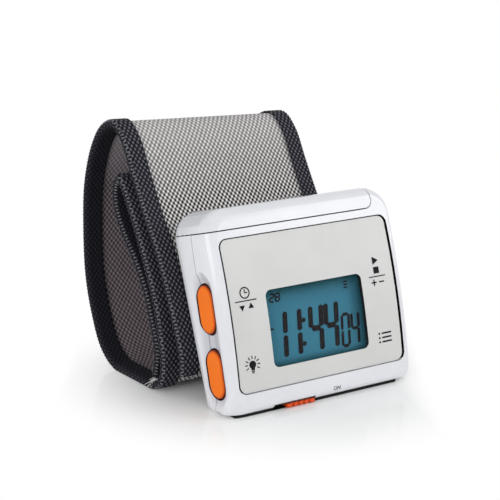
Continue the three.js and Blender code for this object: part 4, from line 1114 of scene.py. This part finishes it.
class CLOCK_OT_strap_band(bpy.types.Operator):
    """Weave the grey band of the strap along its route"""

    bl_idname = "clock.strap_band"
    bl_label = "Strap band"

    columns = 62
    eyelet_radius = 0.002
    eyelet_spacing = 0.024
    face_reach, rim_reach, front_slack = 0.004, 0.005, 0.0005

    def execute(self, context):
        strap = context.scene.clock_strap
        route = Route(strap)
        inner_width = strap.width - 2 * strap.band_edge
        mesh = sheet_along(route, lambda share: (strap.band_edge + share * inner_width, 0.0),
                           self.columns, STRAP_ROWS, 0, route.length)
        self.eyelets(mesh)
        # Both faces turn paler near the top of the loop, as painted light
        outside = woven("strap_weave", strap.light_yarn, strap.dark_yarn, strap,
                        lit_top=shade(strap.light_yarn, 0.75))
        inside = woven("strap_lining", strap.lining_yarn, shade(strap.lining_yarn, 0.2), strap,
                       lit_top=shade(strap.lining_yarn, 3.5))
        band = new_piece("woven_band", mesh, outside, inside)
        walled(band, strap.band_thickness, 0, 1)
        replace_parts(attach(band, FIXED), "strap_band")
        return {"FINISHED"}

    def eyelets(self, mesh):
        """Opens the band round the two studs of the keeper, and rounds the openings."""
        low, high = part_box("strap_keeper")
        middle = (low + high) / 2
        for side in (-1, 1):
            stud = Vector((middle.x + side * self.eyelet_spacing / 2, middle.y, middle.z))
            hole = [face for face in mesh.faces if self.away(
                face.calc_center_median(), stud, self.face_reach) < self.eyelet_radius]
            bmesh.ops.delete(mesh, geom=hole, context="FACES")
            for vert in mesh.verts:
                if vert.is_boundary:
                    gap = self.away(vert.co, stud, self.rim_reach)
                    if gap < 1.6 * self.eyelet_radius:
                        vert.co.x = stud.x + (vert.co.x - stud.x) * (self.eyelet_radius / gap)

    def away(self, point, stud, reach):
        """Distance from a stud's axis, for a point on the layer that the stud goes through."""
        if abs(point.z - stud.z) >= reach or point.y >= stud.y + self.front_slack:
            return math.inf
        gap = point - stud
        return (gap - INWARD * gap.dot(INWARD)).length


class CLOCK_OT_strap_bindings(bpy.types.Operator):
    """Fold the black tape over both edges of the strap"""

    bl_idname = "clock.strap_bindings"
    bl_label = "Bindings"

    columns = 30

    def execute(self, context):
        strap = context.scene.clock_strap
        route = Route(strap)
        tape = woven("binding_tape", strap.tape_crown, strap.tape_colour, strap,
                     (0.4, 0.74, 1.0), plain=(4.6, 7.4))
        for side in ("left", "right"):
            mesh = sheet_along(route, lambda share: self.fold(strap, share, side),
                               self.columns, STRAP_ROWS, 0, route.length)
            if side == "right":
                bmesh.ops.reverse_faces(mesh, faces=mesh.faces[:])
            binding = new_piece(f"binding_tape_{side}", mesh, tape)
            walled(binding, strap.tape_thickness, -1)
            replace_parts(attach(binding, FIXED), f"strap_binding_{side}")
        return {"FINISHED"}

    def fold(self, strap, share, side):
        """Round fold from the inner face, over the edge, to the outer face."""
        radius = strap.binding_thickness / 2
        straight = strap.binding_width - radius
        total = 2 * straight + math.pi * radius
        run = share * total
        if run < straight:
            across, outward = strap.binding_width - run, -radius
        elif run > total - straight:
            across, outward = strap.binding_width - (total - run), radius
        else:
            angle = (run - straight) / radius - math.pi / 2
            across, outward = radius - radius * math.cos(angle), radius * math.sin(angle)
        return (strap.width - across if side == "right" else across), outward


class CLOCK_OT_strap_stitches(bpy.types.Operator):
    """Sew the pale stitches that run along both edges of the bindings"""

    bl_idname = "clock.strap_stitches"
    bl_label = "Stitches"

    round_edge = math.radians(48)
    half_width, half_height = 0.00017, 0.00013

    def execute(self, context):
        strap = context.scene.clock_strap
        route = Route(strap)
        upturn = route.length_at(route.upturn)
        mesh = bmesh.new()
        for i in range(int(route.length / strap.stitch_pitch)):
            length = (i + 0.5) * strap.stitch_pitch
            for side in (-1, 1):
                for face in ((-1, 1) if length > upturn else (1,)):
                    self.stitch(mesh, route, length, side, face)
        face_outwards(mesh)
        smooth(mesh)
        thread = mottled("stitch_thread", strap.stitch_colour, (0.3, 0.55), (0.7, 1.3), 2500,
                         (0.7, 0.95), 900)
        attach(new_piece("edge_stitches", mesh, thread), FIXED)
        return {"FINISHED"}

    def stitch(self, mesh, route, length, side, face):
        """One stitch across the rounded edge of a binding, unless it would touch the ground."""
        strap = route.strap
        radius = strap.binding_thickness / 2

        def on_edge(along, reach, outward):
            return route.place(along, reach if side < 0 else strap.width - reach, outward)

        reach = radius - radius * math.cos(self.round_edge)
        outward = face * radius * math.sin(self.round_edge)
        centre = on_edge(length, reach, outward)
        if centre.z < strap.stitch_length:
            return
        along = (on_edge(length + 1e-4, reach, outward) - centre).normalized()
        tangent = (on_edge(length, radius, face * radius) - on_edge(length, 0, 0)).normalized()
        normal = tangent.cross(along).normalized()
        turn = Matrix((tangent, along, normal)).transposed().to_4x4()
        size = Matrix.Diagonal((strap.stitch_length / 2, self.half_width, self.half_height, 1))
        bmesh.ops.create_icosphere(
            mesh, subdivisions=1, radius=1, matrix=Matrix.Translation(centre) @ turn @ size)


class CLOCK_OT_strap_patches(bpy.types.Operator):
    """Lay the loop patch and the hook patch that close the strap"""

    bl_idname = "clock.strap_patches"
    bl_label = "Fastening patches"

    margin = 0.009
    thickness = 0.00055
    gap = 0.0003
    columns, rows = 40, 24
    loop_run, hook_run = (5, 6.6), (-2.5, -1)

    def execute(self, context):
        route = Route(context.scene.clock_strap)
        pile = self.pile("loop_pile", (0.03, 0.03, 0.035), 5.0)
        hooks = self.pile("hook_pile", (0.022, 0.022, 0.026), 3.2)
        hook_run = [route.fold + index for index in self.hook_run]
        self.patch(route, "loop_fastening", "strap_loop_patch", pile, self.loop_run, -1)
        self.patch(route, "hook_fastening", "strap_hook_patch", hooks, hook_run, 1)
        return {"FINISHED"}

    def patch(self, route, name, node, material, run, face):
        """A patch on one face of the band, between two places among the route's points."""
        strap = route.strap
        middle = face * (strap.band_thickness / 2 + self.gap + self.thickness / 2)
        width = strap.width - 2 * self.margin
        mesh = sheet_along(route, lambda share: (self.margin + share * width, middle),
                           self.columns, self.rows, *(route.length_at(index) for index in run))
        if face < 0:
            bmesh.ops.reverse_faces(mesh, faces=mesh.faces[:])
        piece = new_piece(name, mesh, material)
        walled(piece, self.thickness, 0)
        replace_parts(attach(piece, FIXED), node)

    def pile(self, name, colour, scale):
        """Dense pile of loops or hooks."""
        pile = Finish(name, Sheen_Weight=0.3)
        place = pile.node("ShaderNodeUVMap", uv_map="Weave").outputs[0]
        tufts = pile.node("ShaderNodeTexVoronoi", {
            "Vector": place, "Scale": scale}).outputs["Distance"]
        pile.feed("Base Color", pile.ramp(
            tufts, (0.1, shade(colour, 3.0)), (0.6, shade(colour, 0.5))))
        pile.feed("Roughness", pile.span(tufts, 0.75, 1.0))
        pile.feed("Normal", pile.bump(tufts, 0.0002, 1.0))
        return pile.material


class CLOCK_OT_strap_ends(bpy.types.Operator):
    """Fray the yarns at the strap's two cut ends"""

    bl_idname = "clock.strap_ends"
    bl_label = "Cut ends"

    # How far loose yarns reach past the cut, curl away from the band and lean across it
    start_reach, start_curl = (0.0007, 0.0018), (-0.7, 0.7)
    tail_reach, tail_curl = (0.0012, 0.0026), (0.2, 1.3)
    tuft_reach, tuft_curl, tuft_lean, tuft_width = (0.0016, 0.0044), (-0.5, 0.8), (-1.8, 0.3), 0.005
    yarn_root, yarn_spread, yarn_radius = 0.0006, 0.00035, (0.00014, 0.00022)
    yarn_sides, yarn_steps, yarn_taper = 5, 4, 0.86
    ground = 0.00005

    def execute(self, context):
        strap = context.scene.clock_strap
        route = Route(strap)
        dice = random.Random(7)
        mesh = bmesh.new()
        inner_width = strap.width - 2 * strap.band_edge
        for length, back, reach, curl in ((0.0, 1, self.start_reach, self.start_curl),
                                          (route.length, -1, self.tail_reach, self.tail_curl)):
            for i in range(strap.frayed_yarns):
                share = inner_width * (i + dice.random()) / strap.frayed_yarns
                self.yarn(mesh, route, dice, length, strap.band_edge + share, back, reach, curl)
        for i in range(strap.tuft_yarns):
            across = strap.band_edge + dice.uniform(0, self.tuft_width)
            self.yarn(mesh, route, dice, route.length, across, -1, self.tuft_reach, self.tuft_curl,
                      self.tuft_lean)
        bmesh.ops.holes_fill(
            mesh, edges=[edge for edge in mesh.edges if edge.is_boundary], sides=0)
        for vert in mesh.verts:
            vert.co.z = max(vert.co.z, self.ground)
        face_outwards(mesh)
        smooth(mesh)
        yarn = mottled("frayed_yarn", strap.light_yarn, (0.3, 0.35), (0.7, 0.95), 1800,
                       (0.8, 1.0), 900)
        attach(new_piece("frayed_ends", mesh, yarn), FIXED)
        return {"FINISHED"}

    def yarn(self, mesh, route, dice, length, across, back, reach, curl, lean=(-0.5, 0.5)):
        """One loose yarn: a thin tapering tube that leaves the cut edge and curls."""
        outward = dice.uniform(-self.yarn_spread, self.yarn_spread)
        start = route.place(length + back * self.yarn_root, across, outward)
        before = route.place(length + back * 2 * self.yarn_root, across, outward)
        ahead = (start - before).normalized()
        side = Vector((1, 0, 0))
        up = side.cross(ahead)
        reach, radius = dice.uniform(*reach), dice.uniform(*self.yarn_radius)
        lean, curl = dice.uniform(*lean), dice.uniform(*curl)
        turn = Matrix((side, up, ahead)).transposed().to_4x4()
        face = bmesh.ops.create_circle(
            mesh, cap_ends=True, segments=self.yarn_sides, radius=radius,
            matrix=Matrix.Translation(start) @ turn)["verts"][0].link_faces[0]
        for step in range(1, self.yarn_steps + 1):
            share = step / self.yarn_steps
            heading = (ahead + side * lean * share + up * curl * share).normalized()
            face = bmesh.ops.extrude_discrete_faces(mesh, faces=[face])["faces"][0]
            bmesh.ops.translate(mesh, vec=heading * (reach + self.yarn_root) / self.yarn_steps,
                                verts=face.verts[:])
            middle = face.calc_center_median()
            bmesh.ops.scale(mesh, vec=(self.yarn_taper,) * 3,
                            space=Matrix.Translation(-middle), verts=face.verts[:])


class CLOCK_PT_panel(bpy.types.Panel):
    """Lists the clock's sizes, colours and steps"""

    bl_idname = "CLOCK_PT_panel"
    bl_label = "Wrist Alarm Clock"
    bl_space_type = "VIEW_3D"
    bl_region_type = "UI"
    bl_category = "Clock"

    def draw(self, context):
        scene = context.scene
        for title, settings in (("Stage", scene.clock_stage), ("Case", scene.clock_case),
                                ("Strap", scene.clock_strap)):
            box = self.layout.box()
            box.label(text=title)
            for name in settings.__annotations__:
                box.prop(settings, name)
        for operator in OPERATORS:
            self.layout.operator(operator.bl_idname)


SETTINGS = {"clock_stage": StageSettings, "clock_case": CaseSettings, "clock_strap": StrapSettings}
OPERATORS = (
    CLOCK_OT_stage, CLOCK_OT_case_finish, CLOCK_OT_gap_shade_strip, CLOCK_OT_control_finish,
    CLOCK_OT_display_finish, CLOCK_OT_inner_finish, CLOCK_OT_digits, CLOCK_OT_marks,
    CLOCK_OT_strap_band, CLOCK_OT_strap_bindings, CLOCK_OT_strap_stitches, CLOCK_OT_strap_patches,
    CLOCK_OT_strap_ends)
CLASSES = (*SETTINGS.values(), *OPERATORS, CLOCK_PT_panel)


def register():
    for kind in CLASSES:
        bpy.utils.register_class(kind)
    for name, settings in SETTINGS.items():
        setattr(bpy.types.Scene, name, PointerProperty(type=settings))


def unregister():
    for name in SETTINGS:
        delattr(bpy.types.Scene, name)
    for kind in reversed(CLASSES):
        bpy.utils.unregister_class(kind)


def main():
    register()
    for operator in OPERATORS:
        group, step = operator.bl_idname.split(".")
        getattr(getattr(bpy.ops, group), step)()


if __name__ == "__main__":
    main()
